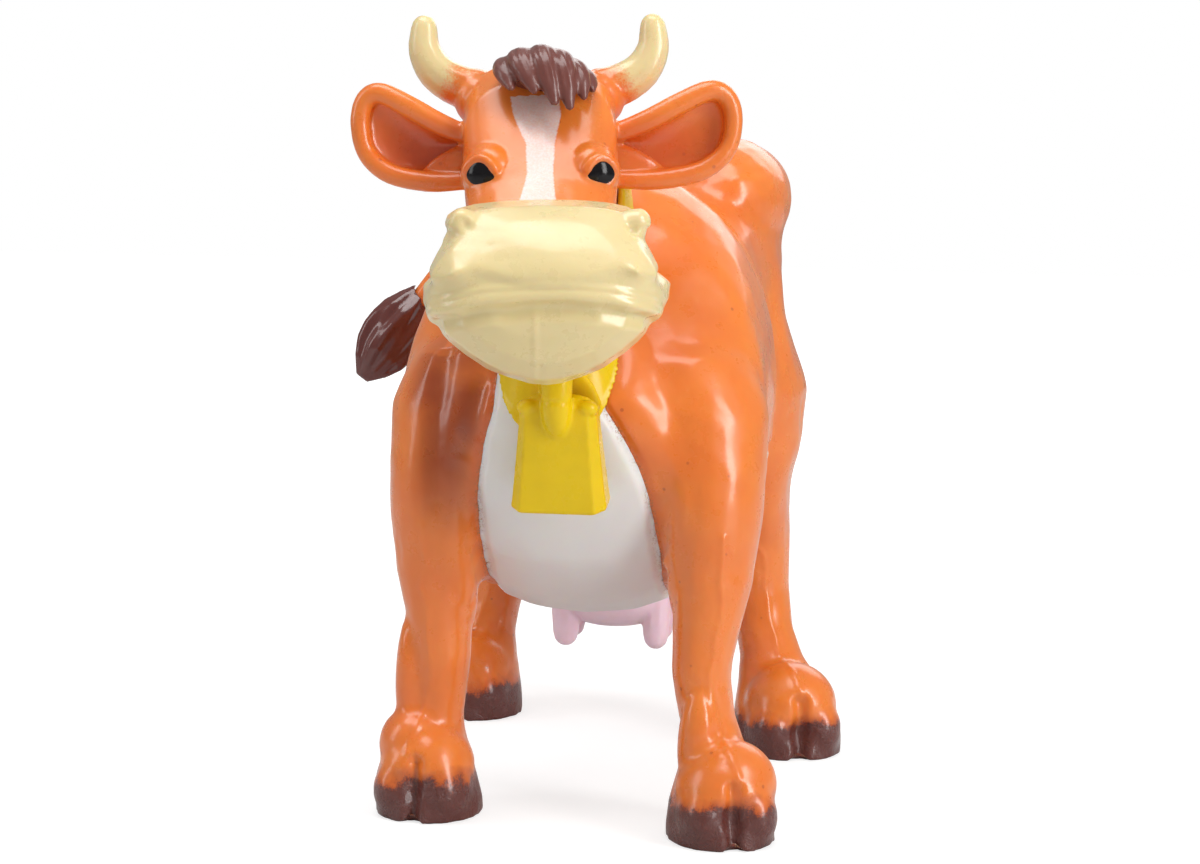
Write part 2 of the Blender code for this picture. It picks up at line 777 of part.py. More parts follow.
def make_legs(skin, torso):
    legs = []
    for front in (True, False):
        for side in (1, -1):
            name = leg_name(front, side)
            leg = add_object(name, skin.copy(), PARTS, MATERIALS["orange"])
            keep_inside(leg, leg_region(f"{name}_region", front, side, 0))
            cut(torso, leg_region(f"{name}_room", front, side, FIT_GAP))
            cut(leg, cleft_cutter(f"{name}_cleft", front, side), FLOOR)
            seat, inwards = leg_seat(front, side)
            plug(name, leg, torso, seat, inwards, LEG_PEG_RADIUS, LEG_PEG_LENGTH)
            legs.append(leg)
    return legs


# Belly insert and udder

def insert_region(name, grow):
    """A slab along the underside: flat across, as deep as the insert is thick."""
    line = [
        on_body(y, z) - Vector((right * BREAST_PANEL_WIDTH, 0, 0))
        for y, z, _, _, right in INSERT_SHARES
    ]
    rings = []
    for i, (_, _, width, depth, _) in enumerate(INSERT_SHARES):
        before, after = line[max(i - 1, 0)], line[min(i + 1, len(line) - 1)]
        along = (after - before).normalized()
        inwards = Vector((1, 0, 0)).cross(along)
        end = {0: -1, len(line) - 1: 1}.get(i, 0)
        centre = line[i] + along * 1.6 * grow * end
        half = width * BREAST_PANEL_WIDTH / 2 + 1.6 * grow
        inner = centre + inwards * (depth * BREAST_PANEL_DEPTH + 1.6 * grow)
        outer = centre - inwards * CUT_OVERRUN
        aside = Vector((half, 0, 0))
        rings.append([outer - aside, outer + aside, inner + aside, inner - aside])
    return as_cutter(add_object(name, loft(name, rings), CUTTERS))


def udder_centre():
    return on_body(UDDER_BACK_SHARE, 0) + Vector((0, 0, UDDER_DEPTH - UDDER_DROP))


def udder_mesh(grow):
    radii = (UDDER_WIDTH / 2 + grow, UDDER_LENGTH / 2 + grow, UDDER_DEPTH + grow)
    return ellipsoid("udder", udder_centre(), radii, points=24)


def make_udder():
    udder = add_object("udder", udder_mesh(0), PARTS, MATERIALS["pink"])
    across, along = UDDER_TEATS_SHARE
    for i, (side, row) in enumerate([(1, 1), (-1, 1), (1, -1), (-1, -1)]):
        foot = udder_centre() + Vector(
            (side * across * UDDER_WIDTH / 2, row * along * UDDER_LENGTH / 2, 0)
        )
        low = foot - Vector((0, 0, UDDER_DEPTH + TEAT_LENGTH / 2))
        path = [foot, foot + (low - foot) * 0.8, low]
        radii = [TEAT_RADIUS * 1.3, TEAT_RADIUS * 1.1, TEAT_RADIUS]
        rounded_end(path, radii, TEAT_RADIUS)
        teat = tube(f"teat_{i}", path, radii, 3)
        join(udder, as_cutter(add_object(f"teat_{i}", teat, CUTTERS)))
    return udder


# Collar and bell

def collar_plane():
    (back_y, back_z), (front_y, front_z) = COLLAR_LINE_SHARE
    back, front = on_neck(back_y, back_z), on_neck(front_y, front_z)
    return back, front, Vector((1, 0, 0)).cross((back - front).normalized())


def make_collar(body):
    """A band of even thickness round the neck, held by the skin's own shape."""
    outer = grown_copy(body, "collar", FIT_GAP + COLLAR_THICKNESS)
    back, front, normal = collar_plane()
    reach = 2 * (back - front).length
    turn = normal.to_track_quat("Z", "Y").to_matrix()
    size = (1.35 * NECK_WIDTH, reach, COLLAR_BREADTH)
    slab = block("collar_slab", (back + front) / 2, size, turn)
    collar = add_object("collar", baked(outer, "collar"), PARTS, MATERIALS["yellow"])
    bpy.data.objects.remove(outer)
    keep_inside(collar, as_cutter(add_object("collar_slab", slab, CUTTERS)))
    cut(collar, grown_copy(body, "neck_clearance", FIT_GAP))
    collar.name = "collar"
    return collar


def foremost(piece, low, high):
    """How far ahead a piece reaches between two heights."""
    heights = [vert.co for vert in piece.data.vertices if low <= vert.co.z <= high]
    return min(place.y for place in heights)


def make_bell(body, collar):
    """A solid cowbell with a hanger over the collar, its back against the breast."""
    _, front, normal = collar_plane()
    band = foremost(collar, front.z - COLLAR_BREADTH, front.z + COLLAR_BREADTH)
    breast = foremost(body, front.z - BELL_HEIGHT, front.z)
    front.y = min(band + BELL_SINK, breast)
    stand_off = BELL_MOUTH_LENGTHWAYS / 2
    drop = COLLAR_BREADTH / 2 + BELL_HEIGHT / 2
    turn = Matrix.Rotation(-BELL_TILT, 3, "X")
    centre = front + Vector((0, -stand_off, -drop))
    sizes = (BELL_MOUTH_WIDTH / 2, BELL_MOUTH_LENGTHWAYS / 2, BELL_HEIGHT / 2)

    def build(shape):
        bmesh.ops.create_cube(shape, size=2)
        bmesh.ops.scale(shape, vec=sizes, verts=shape.verts)
        for vert in shape.verts:
            if vert.co.z > 0:
                vert.co.x *= BELL_TOP_SHARE[0]
                vert.co.y *= BELL_TOP_SHARE[1]
        bmesh.ops.rotate(shape, matrix=turn, verts=shape.verts)
        bmesh.ops.translate(shape, vec=centre, verts=shape.verts)

    bell = add_object("bell", mesh_from("bell", build), PARTS, MATERIALS["yellow"])
    bevel = bell.modifiers.new("soft edges", "BEVEL")
    bevel.width = BELL_EDGE
    bevel.segments = 3
    top = centre + turn @ Vector((0, 0, BELL_HEIGHT / 2))
    out = Vector((0, -COLLAR_THICKNESS - HANGER_RADIUS, 0))
    hook = front + normal * COLLAR_BREADTH / 2
    path = [
        hook + out,
        front + out,
        (front + top) / 2 + out,
        top - Vector((0, HANGER_RADIUS, BELL_HEIGHT * 0.20)),
    ]
    path = smooth_path(path, 4)
    radii = [HANGER_RADIUS] * len(path)
    hanger = tube("bell_hanger", path, radii, 3)
    join(bell, as_cutter(add_object("bell_hanger", hanger, CUTTERS)))
    clearance = FIT_GAP + COLLAR_THICKNESS + FIT_GAP
    cut(bell, grown_copy(body, "bell_clearance", clearance))
    return bell


# Head

def profile_rings(rows, origin, length, depth, width):
    rings = []
    for dorsal_y, dorsal_z, ventral_y, ventral_z, half, lift, roundness in rows:
        dorsal = origin + headed(Vector((0, dorsal_y * length, dorsal_z * depth)))
        ventral = origin + headed(Vector((0, ventral_y * length, ventral_z * depth)))
        aside = headed(Vector((1, 0, 0)))
        half_width = half * width / 2
        rings.append(section(dorsal, ventral, half_width, lift, roundness, aside))
    return rings


def make_head(torso):
    joint, ahead = head_joint()
    rings = profile_rings(HEAD_SHARES, joint, HEAD_LENGTH, HEAD_DEPTH, HEAD_WIDTH)
    head = add_object("head", loft("head", rings), PARTS, MATERIALS["orange"])
    cut(head, half_space("behind_head", joint + ahead * FIT_GAP / 2, -ahead))
    cut(torso, half_space("before_neck", joint - ahead * FIT_GAP / 2, ahead))
    forward = headed(Vector((0, -1, 0)))
    cut(head, half_space("before_nose", nose_seam() - forward * FIT_GAP, forward))
    return head


def make_muzzle(head):
    seam = nose_seam()
    rings = profile_rings(
        MUZZLE_SHARES, seam, MUZZLE_LENGTH, MUZZLE_DEPTH, MUZZLE_WIDTH
    )
    muzzle = add_object("muzzle", loft("muzzle", rings), PARTS, MATERIALS["cream"])
    backwards = headed(Vector((0, 1, 0)))
    plug(
        "muzzle", muzzle, head, seam, backwards, MUZZLE_PEG_RADIUS, MUZZLE_PEG_LENGTH
    )
    across, along, up = NOSTRIL_PLACE_SHARE
    for side in (1, -1):
        place = Vector((side * across * MUZZLE_WIDTH / 2, along * MUZZLE_LENGTH, 0))
        place = seam + headed(place + Vector((0, 0, up * MUZZLE_DEPTH)))
        radii = (NOSTRIL_RADIUS * 1.5, NOSTRIL_RADIUS * 1.6, NOSTRIL_RADIUS)
        hole = ellipsoid(f"nostril_{side}", place, radii, head_turn())
        cut(muzzle, as_cutter(add_object(f"nostril_{side}", hole, CUTTERS)))
    return muzzle


def make_jaw(head, muzzle, bare_head, bare_muzzle):
    seam = nose_seam()
    rings = profile_rings(JAW_SHARES, seam, JAW_LENGTH, JAW_DEPTH, JAW_WIDTH)
    jaw = add_object("lower_jaw", loft("lower_jaw", rings), PARTS, MATERIALS["cream"])
    cut(jaw, grown_copy(bare_muzzle, "muzzle_clearance", FIT_GAP))
    cut(jaw, grown_copy(bare_head, "jaw_clearance", FIT_GAP))
    _, _, low_y, low_z, _, _, _ = MUZZLE_SHARES[3]
    low = seam + headed(Vector((0, low_y * MUZZLE_LENGTH, low_z * MUZZLE_DEPTH)))
    upwards = headed(Vector((0, 0, 1)))
    plug("lower_jaw", jaw, muzzle, low, upwards, JAW_PEG_RADIUS, JAW_PEG_LENGTH)
    return jaw


def make_eye(head, side):
    name = "left_eye" if side > 0 else "right_eye"
    across, along, up = EYE_PLACE_SHARE
    place = on_head(along, up, side * across)
    radii = (EYE_RADIUS, EYE_RADIUS, EYE_RADIUS)
    eye = add_object(name, ellipsoid(name, place, radii), PARTS, MATERIALS["black"])
    room = ellipsoid(f"{name}_socket", place, [r + FIT_GAP for r in radii])
    cut(head, as_cutter(add_object(f"{name}_socket", room, CUTTERS)))
    return eye


def make_ear(head, head_clearance, side):
    """A cupped leaf on a short stalk that plugs into the side of the head."""
    name = "left_ear" if side > 0 else "right_ear"
    across, along, up = EAR_PLACE_SHARE
    root = on_head(along, up, side * across)
    outwards = headed(Vector((side * math.cos(EAR_RISE), 0, math.sin(EAR_RISE))))
    upwards = headed(Vector((-side * math.sin(EAR_RISE), 0, math.cos(EAR_RISE))))
    backwards = headed(Vector((0, 1, 0)))
    columns = 7

    def build(shape):
        bmesh.ops.create_grid(shape, x_segments=columns - 1, y_segments=6, size=1)
        for vert in shape.verts:
            reach, chord = (vert.co.x + 1) / 2, vert.co.y
            share = spread(EAR_CHORD_SHARES, columns)[round(reach * (columns - 1))]
            height = chord * share * EAR_BREADTH / 2
            cup = EAR_CUP * (1 - chord * chord) * min(1, 0.4 + reach)
            cup += EAR_LENGTH * 0.10 * reach
            vert.co = (
                root
                + outwards * (EAR_STALK_RADIUS / 3 + reach * EAR_LENGTH)
                + upwards * (height + EAR_BREADTH * 0.10 * reach * reach)
                + backwards * cup
            )

    ear = add_object(name, mesh_from(name, build), PARTS, MATERIALS["orange"])
    wall = ear.modifiers.new("wall", "SOLIDIFY")
    wall.thickness = EAR_THICKNESS
    wall.offset = 0
    soften = ear.modifiers.new("soften", "SUBSURF")
    soften.levels = 1
    soften.render_levels = 1
    start = root - outwards * EAR_STALK_RADIUS + backwards * EAR_CUP * 0.2
    end = root + outwards * EAR_LENGTH * 0.34 + backwards * EAR_CUP
    stalk = rod(f"{name}_stalk", start, end, EAR_STALK_RADIUS, EAR_STALK_RADIUS * 0.55)
    join(ear, as_cutter(add_object(f"{name}_stalk", stalk, CUTTERS)))
    cut(ear, head_clearance)
    inwards = -outwards
    plug(name, ear, head, root, inwards, EAR_PEG_RADIUS, EAR_PEG_LENGTH)
    return ear


def make_horn(head, head_clearance, side):
    name = "left_horn" if side > 0 else "right_horn"
    across, along, up = HORN_PLACE_SHARE
    root = on_head(along, up, side * across)
    points = [
        root + headed(Vector((side * x * HORN_SPREAD, y * HORN_SPREAD, z * HORN_RISE)))
        for x, y, z in HORN_PATH_SHARES
    ]
    path = smooth_path(points, 3)
    radii = [HORN_RADIUS * share for share in spread(HORN_RADIUS_SHARES, len(path))]
    rounded_end(path, radii, radii[-1])
    mesh = tube(name, path, radii, 4)
    horn = add_object(name, mesh, PARTS, MATERIALS["cream"])
    cut(horn, head_clearance)
    inwards = headed(Vector((-side, 0, -1)).normalized())
    plug(name, horn, head, root, inwards, HORN_PEG_RADIUS, HORN_PEG_LENGTH)
    return horn


def make_forelock(head_clearance, horn_clearances):
    """Locks of hair that fall from the poll over the forehead."""
    crown = on_head(*FORELOCK_PLACE_SHARE)
    radii = (FORELOCK_WIDTH / 2, FORELOCK_LENGTH * 0.30, FORELOCK_THICKNESS)
    meshes = [ellipsoid("crown", crown, radii, head_turn())]
    for across, reach, turn in FORELOCK_LOCK_SHARES:
        tip_y = -reach * FORELOCK_LENGTH * 0.62
        tip_z = -reach * FORELOCK_LENGTH * 0.50
        bend = (FORELOCK_LENGTH * 0.12 + tip_y - LOCK_RADIUS) / 2
        points = [
            Vector((across * FORELOCK_WIDTH * 0.8, FORELOCK_LENGTH * 0.12, 0)),
            Vector((across * FORELOCK_WIDTH, bend, 0)),
            Vector(((across + turn) * FORELOCK_WIDTH, tip_y, tip_z)),
        ]
        path = smooth_path([crown + headed(point) for point in points], 4)
        widths = spread([0.9, 1.0, 1.0, 0.72, 0.35], len(path))
        radii = [LOCK_RADIUS * width for width in widths]
        meshes.append(tube("lock", path, radii, 3))
    hair = merged_skin(
        "forelock", meshes, FORELOCK_VOXEL, 2, FORELOCK_TRIANGLES
    )
    forelock = add_object("forelock", hair, PARTS, MATERIALS["brown"])
    cut(forelock, head_clearance, *horn_clearances)
    return forelock


# Tail

def make_tail(torso):
    root = on_body(*TAIL_ROOT_SHARE)
    points = [
        root + Vector((x * TAIL_REACH, y * TAIL_REACH, z * TAIL_DROP))
        for x, y, z in TAIL_PATH_SHARES
    ]
    inwards = Vector((0, -1, 0))
    start = root + inwards * TAIL_PEG_LENGTH
    path = [start] + smooth_path(points, 4)
    along = (path[-1] - path[-2]).normalized()
    path.append(path[-1] + along * TUFT_SOCKET)
    mesh = tube("tail", path, [TAIL_RADIUS] * len(path), 4)
    tail = add_object("tail", mesh, PARTS, MATERIALS["orange"])
    room_path = [start + inwards * FIT_GAP] + path[1:-1]
    room = tube("tail_room", room_path, [TAIL_RADIUS + FIT_GAP] * len(room_path), 4)
    cut(torso, as_cutter(add_object("tail_room", room, CUTTERS)))

    foot = path[-1] - along * TUFT_SOCKET
    side = along.cross(Vector((0, 0, 1))).normalized()
    flat = side.cross(along).normalized()
    rings = []
    for i, share in enumerate(TUFT_RADIUS_SHARES):
        centre = foot + along * TUFT_LENGTH * i / (len(TUFT_RADIUS_SHARES) - 1)
        ring = []
        for j in range(20):
            angle = 2 * math.pi * j / 20
            ripple = 1 + 0.07 * math.cos(5 * angle)
            ring.append(
                centre
                + flat * share * TUFT_RADIUS * ripple * math.cos(angle)
                + side * share * TUFT_RADIUS * TUFT_FLATNESS_SHARE * ripple * math.sin(angle)
            )
        rings.append(ring)
    tuft = add_object("tail_tuft", loft("tail_tuft", rings), PARTS, MATERIALS["brown"])
    hole_start = foot - along * CUT_OVERRUN
    hole_end = foot + along * (TUFT_SOCKET + FIT_GAP)
    hole = rod("tuft_socket", hole_start, hole_end, TAIL_RADIUS + FIT_GAP)
    cut(tuft, as_cutter(add_object("tuft_socket", hole, CUTTERS)))
    return tail, tuft


# Assembly

def centre_on_floor():
    """Moves everything so that the bounding box stands over the origin."""
    bpy.context.view_layer.update()
    graph = bpy.context.evaluated_depsgraph_get()
    corners = []
    for piece in PARTS.objects:
        shown = piece.evaluated_get(graph)
        corners += [shown.matrix_world @ Vector(corner) for corner in shown.bound_box]
    low = [min(corner[k] for corner in corners) for k in range(3)]
    high = [max(corner[k] for corner in corners) for k in range(3)]
    figure = bpy.data.objects.new("figure", None)
    bpy.context.scene.collection.objects.link(figure)
    for made in list(PARTS.objects) + list(CUTTERS.objects):
        made.parent = figure
    figure.location = (-(low[0] + high[0]) / 2, -(low[1] + high[1]) / 2, -low[2])


def build_figure():
    skin = body_skin()
    torso = add_object("torso", skin.copy(), PARTS, MATERIALS["orange"])
    whole_body = as_cutter(add_object("whole_body", skin.copy(), CUTTERS))
    head = make_head(torso)
    bare_head = as_cutter(add_object("bare_head", baked(head, "bare_head"), CUTTERS))
    joint, ahead = head_joint()
    neck_seat = joint - ahead * FIT_GAP / 2
    plug("neck", torso, head, neck_seat, ahead, NECK_PEG_RADIUS, NECK_PEG_LENGTH)
    muzzle = make_muzzle(head)
    bare_muzzle = as_cutter(
        add_object("bare_muzzle", baked(muzzle, "bare_muzzle"), CUTTERS)
    )
    make_jaw(head, muzzle, bare_head, bare_muzzle)

    head_clearance = grown_copy(bare_head, "head_clearance", FIT_GAP)
    horns = []
    for side in (1, -1):
        make_eye(head, side)
        make_ear(head, head_clearance, side)
        horns.append(make_horn(head, head_clearance, side))
    horn_clearances = [
        grown_copy(horn, f"{horn.name}_clearance", FIT_GAP) for horn in horns
    ]
    make_forelock(head_clearance, horn_clearances)

    make_legs(skin, torso)
    insert = add_object("belly_insert", skin.copy(), PARTS, MATERIALS["white"])
    keep_inside(insert, insert_region("insert_region", 0))
    cut(torso, insert_region("insert_room", FIT_GAP))
    make_udder()
    pocket = udder_mesh(FIT_GAP)
    pocket = as_cutter(add_object("udder_pocket", pocket, CUTTERS))
    cut(torso, pocket)
    cut(insert, pocket)

    collar = make_collar(whole_body)
    make_bell(whole_body, collar)
    make_tail(torso)


clear_scene()
PARTS = new_collection("toy_cow")
CUTTERS = new_collection("cutters")
MATERIALS = {
    name: plastic(name, finish)
    for name, finish in {
        "orange": ORANGE,
        "white": WHITE,
        "cream": CREAM,
        "yellow": YELLOW,
        "pink": PINK,
        "brown": BROWN,
        "black": BLACK,
    }.items()
}
FLOOR = half_space("floor", Vector((0, 0, 0)), Vector((0, 0, -1)))
build_figure()
centre_on_floor()
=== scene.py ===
"""A toy cow of hand-painted vinyl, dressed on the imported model.

Metres throughout. The cow's left is +X, its nose points along -Y and it stands on Z 0.
"""

import math

import bpy
import numpy as np
from mathutils import Matrix, Vector
from mathutils.bvhtree import BVHTree


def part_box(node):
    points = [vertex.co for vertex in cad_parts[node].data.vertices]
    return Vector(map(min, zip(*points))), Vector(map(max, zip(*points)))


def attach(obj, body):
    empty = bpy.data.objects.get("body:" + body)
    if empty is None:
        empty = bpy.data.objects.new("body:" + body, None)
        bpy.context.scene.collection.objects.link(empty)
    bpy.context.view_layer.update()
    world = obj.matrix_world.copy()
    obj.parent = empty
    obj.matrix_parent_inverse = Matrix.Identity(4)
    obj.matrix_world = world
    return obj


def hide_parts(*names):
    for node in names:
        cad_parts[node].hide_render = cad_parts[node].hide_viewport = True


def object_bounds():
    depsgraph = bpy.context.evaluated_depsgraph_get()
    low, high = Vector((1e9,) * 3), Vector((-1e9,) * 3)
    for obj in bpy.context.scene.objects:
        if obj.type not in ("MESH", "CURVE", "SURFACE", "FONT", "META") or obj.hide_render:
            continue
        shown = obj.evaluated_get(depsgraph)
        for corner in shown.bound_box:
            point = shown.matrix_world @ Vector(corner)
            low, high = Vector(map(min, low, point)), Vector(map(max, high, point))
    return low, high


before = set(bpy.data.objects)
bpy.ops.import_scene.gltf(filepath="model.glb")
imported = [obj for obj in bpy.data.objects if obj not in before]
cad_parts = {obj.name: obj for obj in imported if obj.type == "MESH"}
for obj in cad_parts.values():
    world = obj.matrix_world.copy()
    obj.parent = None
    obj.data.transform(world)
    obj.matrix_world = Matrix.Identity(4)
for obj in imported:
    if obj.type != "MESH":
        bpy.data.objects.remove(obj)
CAD_BOX = [list(corner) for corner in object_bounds()]

MM = 0.001

# Skins
BODY_VOXEL = 0.38 * MM
BODY_SMOOTHING = 30
BOX_MARGIN = np.array((0.02, 0.02, 0.0)) * MM
DETAIL_VOXEL = 0.24 * MM
GAP_CLOSING = 0.24 * MM
SMALL_GAP_CLOSING = 0.1 * MM
HAIR_VOXEL = 0.19 * MM
BELL_VOXEL = 0.2 * MM
LEG_NODES = [f"{end}_{side}_leg" for end in ("front", "rear") for side in ("left", "right")]


# Meshes as arrays

def node_arrays(name):
    """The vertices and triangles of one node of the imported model."""
    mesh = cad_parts[name].data
    mesh.calc_loop_triangles()
    points = np.empty(len(mesh.vertices) * 3)
    mesh.vertices.foreach_get("co", points)
    corners = np.empty(len(mesh.loop_triangles) * 3, dtype=np.int32)
    mesh.loop_triangles.foreach_get("vertices", corners)
    return points.reshape(-1, 3), corners.reshape(-1, 3)


def welded(points, faces, grid=1e-6):
    """Merges points that coincide, so that the normals run smoothly over the edges."""
    keys = np.round(points / grid).astype(np.int64)
    _, first, inverse = np.unique(keys, axis=0, return_index=True, return_inverse=True)
    faces = inverse.reshape(-1)[faces]
    real = (
        (faces[:, 0] != faces[:, 1])
        & (faces[:, 1] != faces[:, 2])
        & (faces[:, 2] != faces[:, 0])
    )
    return points[first], faces[real]


def joined(parts):
    """Several meshes as one."""
    points, faces, count = [], [], 0
    for part_points, part_faces in parts:
        points.append(part_points)
        faces.append(part_faces + count)
        count += len(part_points)
    return np.concatenate(points), np.concatenate(faces)


def spread_to_points(count, faces, values):
    """Adds a value of each face to the face's corners."""
    result = np.zeros((count, values.shape[1]))
    for axis in range(values.shape[1]):
        for corner in range(3):
            result[:, axis] += np.bincount(faces[:, corner], values[:, axis], count)
    return result


def unit(vectors):
    length = np.linalg.norm(vectors, axis=-1, keepdims=True)
    return vectors / np.maximum(length, 1e-12)


def point_normals(points, faces):
    a, b, c = (points[faces[:, i]] for i in range(3))
    return unit(spread_to_points(len(points), faces, np.cross(b - a, c - a)))


def edge_pairs(faces):
    pairs = np.sort(np.concatenate([faces[:, [0, 1]], faces[:, [1, 2]], faces[:, [2, 0]]]))
    return np.unique(pairs, axis=0)


class Neighbours:
    """The edges of a mesh, to average a value over each point's neighbours."""

    def __init__(self, count, faces):
        pairs = edge_pairs(faces)
        self.start = np.concatenate([pairs[:, 0], pairs[:, 1]])
        self.end = np.concatenate([pairs[:, 1], pairs[:, 0]])
        self.count = count
        self.degree = np.maximum(np.bincount(self.start, minlength=count), 1)

    def mean(self, values):
        columns = values.reshape(self.count, -1)
        result = [
            np.bincount(self.start, columns[self.end, axis], self.count) / self.degree
            for axis in range(columns.shape[1])
        ]
        return np.stack(result, axis=1).reshape(values.shape)


def smoothed(values, neighbours, steps, share=0.5, keep_volume=False):
    """Evens out values over the skin. The share may differ from point to point."""
    share = np.asarray(share, dtype=float)
    if share.ndim and values.ndim > 1:
        share = share[:, None]
    for _ in range(steps):
        values = values + share * (neighbours.mean(values) - values)
        if keep_volume:
            values = values - 1.04 * share * (neighbours.mean(values) - values)
    return values


def soft_normals(points, faces, neighbours, steps):
    return smoothed(point_normals(points, faces), neighbours, steps)


def largest_piece(points, faces):
    """Drops what lies loose inside a skin, such as a closed socket."""
    label = np.arange(len(points))
    pairs = edge_pairs(faces)
    while True:
        low = np.minimum(label[pairs[:, 0]], label[pairs[:, 1]])
        before = label.copy()
        np.minimum.at(label, pairs[:, 0], low)
        np.minimum.at(label, pairs[:, 1], low)
        label = label[label]
        if np.array_equal(before, label):
            break
    biggest = np.bincount(label[faces[:, 0]]).argmax()
    return compact(points, faces[label[faces[:, 0]] == biggest])


def compact(points, faces, *values):
    """Only the points that the faces use, with their values."""
    used, inverse = np.unique(faces, return_inverse=True)
    kept = [points[used], inverse.reshape(-1, 3)]
    return kept + [value[used] for value in values]


def mesh_object(name, points, faces, values=None):
    """An object with smooth shading, and values for its material at each point."""
    mesh = bpy.data.meshes.new(name)
    mesh.vertices.add(len(points))
    mesh.vertices.foreach_set("co", points.reshape(-1))
    mesh.loops.add(faces.size)
    mesh.loops.foreach_set("vertex_index", faces.reshape(-1).astype(np.int32))
    mesh.polygons.add(len(faces))
    starts = np.arange(len(faces), dtype=np.int32) * faces.shape[1]
    mesh.polygons.foreach_set("loop_start", starts)
    mesh.update(calc_edges=True)
    mesh.shade_smooth()
    for label, value in (values or {}).items():
        layer = mesh.attributes.new(label, "FLOAT", "POINT")
        layer.data.foreach_set("value", np.ascontiguousarray(value, dtype=np.float32))
    mesh.validate()
    piece = bpy.data.objects.new(name, mesh)
    bpy.context.scene.collection.objects.link(piece)
    return piece


def remeshed(points, faces, voxel):
    """One even skin over everything that the mesh holds, as triangles."""
    draft = mesh_object("draft", points, faces)
    modifier = draft.modifiers.new("skin", "REMESH")
    modifier.mode = "VOXEL"
    modifier.voxel_size = voxel
    graph = bpy.context.evaluated_depsgraph_get()
    mesh = bpy.data.meshes.new_from_object(draft.evaluated_get(graph))
    new_points = np.empty(len(mesh.vertices) * 3)
    mesh.vertices.foreach_get("co", new_points)
    corners = np.empty(len(mesh.loops), dtype=np.int32)
    mesh.loops.foreach_get("vertex_index", corners)
    quads = corners.reshape(-1, 4)
    bpy.data.meshes.remove(mesh)
    old = draft.data
    bpy.data.objects.remove(draft)
    bpy.data.meshes.remove(old)
    new_points = new_points.reshape(-1, 3)
    return new_points, triangles_of(new_points, quads)


def triangles_of(points, quads):
    """Halves each quad along its shorter diagonal."""
    first = np.linalg.norm(points[quads[:, 0]] - points[quads[:, 2]], axis=1)
    second = np.linalg.norm(points[quads[:, 1]] - points[quads[:, 3]], axis=1)
    short = (first <= second)[:, None]
    one = np.where(short, quads[:, [0, 1, 2]], quads[:, [0, 1, 3]])
    two = np.where(short, quads[:, [0, 2, 3]], quads[:, [1, 2, 3]])
    return np.concatenate([one, two])


def fused(parts, voxel, steps):
    """One smoothed skin over several closed forms, without what lies loose inside it."""
    points, faces = largest_piece(*remeshed(*joined(parts), voxel))
    neighbours = Neighbours(len(points), faces)
    return smoothed(points, neighbours, steps, keep_volume=True), faces, neighbours


def grown(name, amount):
    """A node with its skin moved outwards."""
    points, faces = welded(*node_arrays(name))
    return points + amount * point_normals(points, faces), faces


def skin_over(names, voxel, closing=GAP_CLOSING, extra=()):
    """An even skin over several nodes, grown to close their gaps and shrunk again."""
    parts = [grown(name, closing) for name in names] + list(extra)
    points, faces, neighbours = fused(parts, voxel, 2)
    return points - closing * point_normals(points, faces), faces, neighbours


def tree_of(points, faces):
    return BVHTree.FromPolygons([Vector(p) for p in points], faces.tolist())


def distance_to(mesh, points):
    """How far each point lies from a mesh."""
    tree = tree_of(*mesh)
    return np.array([tree.find_nearest(Vector(p))[3] for p in points])


def plain_mesh(names):
    """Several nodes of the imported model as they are."""
    return joined([node_arrays(name) for name in names])


# Sculpting

def boxed(points):
    """Points drawn back into the box of the plain model."""
    low, high = CAD_BOX
    return np.clip(points, np.array(low) + BOX_MARGIN, np.array(high) - BOX_MARGIN)


def laid_on(points, faces, path):
    """A path moved onto the nearest places of a skin."""
    tree = tree_of(points, faces)
    return np.array([tree.find_nearest(Vector(spot))[0] for spot in path])


def falloff(distance, radius):
    """One at the middle of a stroke and zero at its radius, smooth at both."""
    share = np.clip(1 - (distance / radius) ** 2, 0, 1)
    return share * share


def path_distance(points, path):
    """The distance of each point from a path, and where along it, from 0 to 1."""
    path = np.asarray(path, dtype=float)
    best = np.full(len(points), 1e9)
    along = np.zeros(len(points))
    spans = len(path) - 1
    for i in range(spans):
        run = path[i + 1] - path[i]
        share = np.clip((points - path[i]) @ run / (run @ run), 0, 1)
        distance = np.linalg.norm(points - path[i] - share[:, None] * run, axis=1)
        closer = distance < best
        best = np.where(closer, distance, best)
        along = np.where(closer, (i + share) / spans, along)
    return best, along


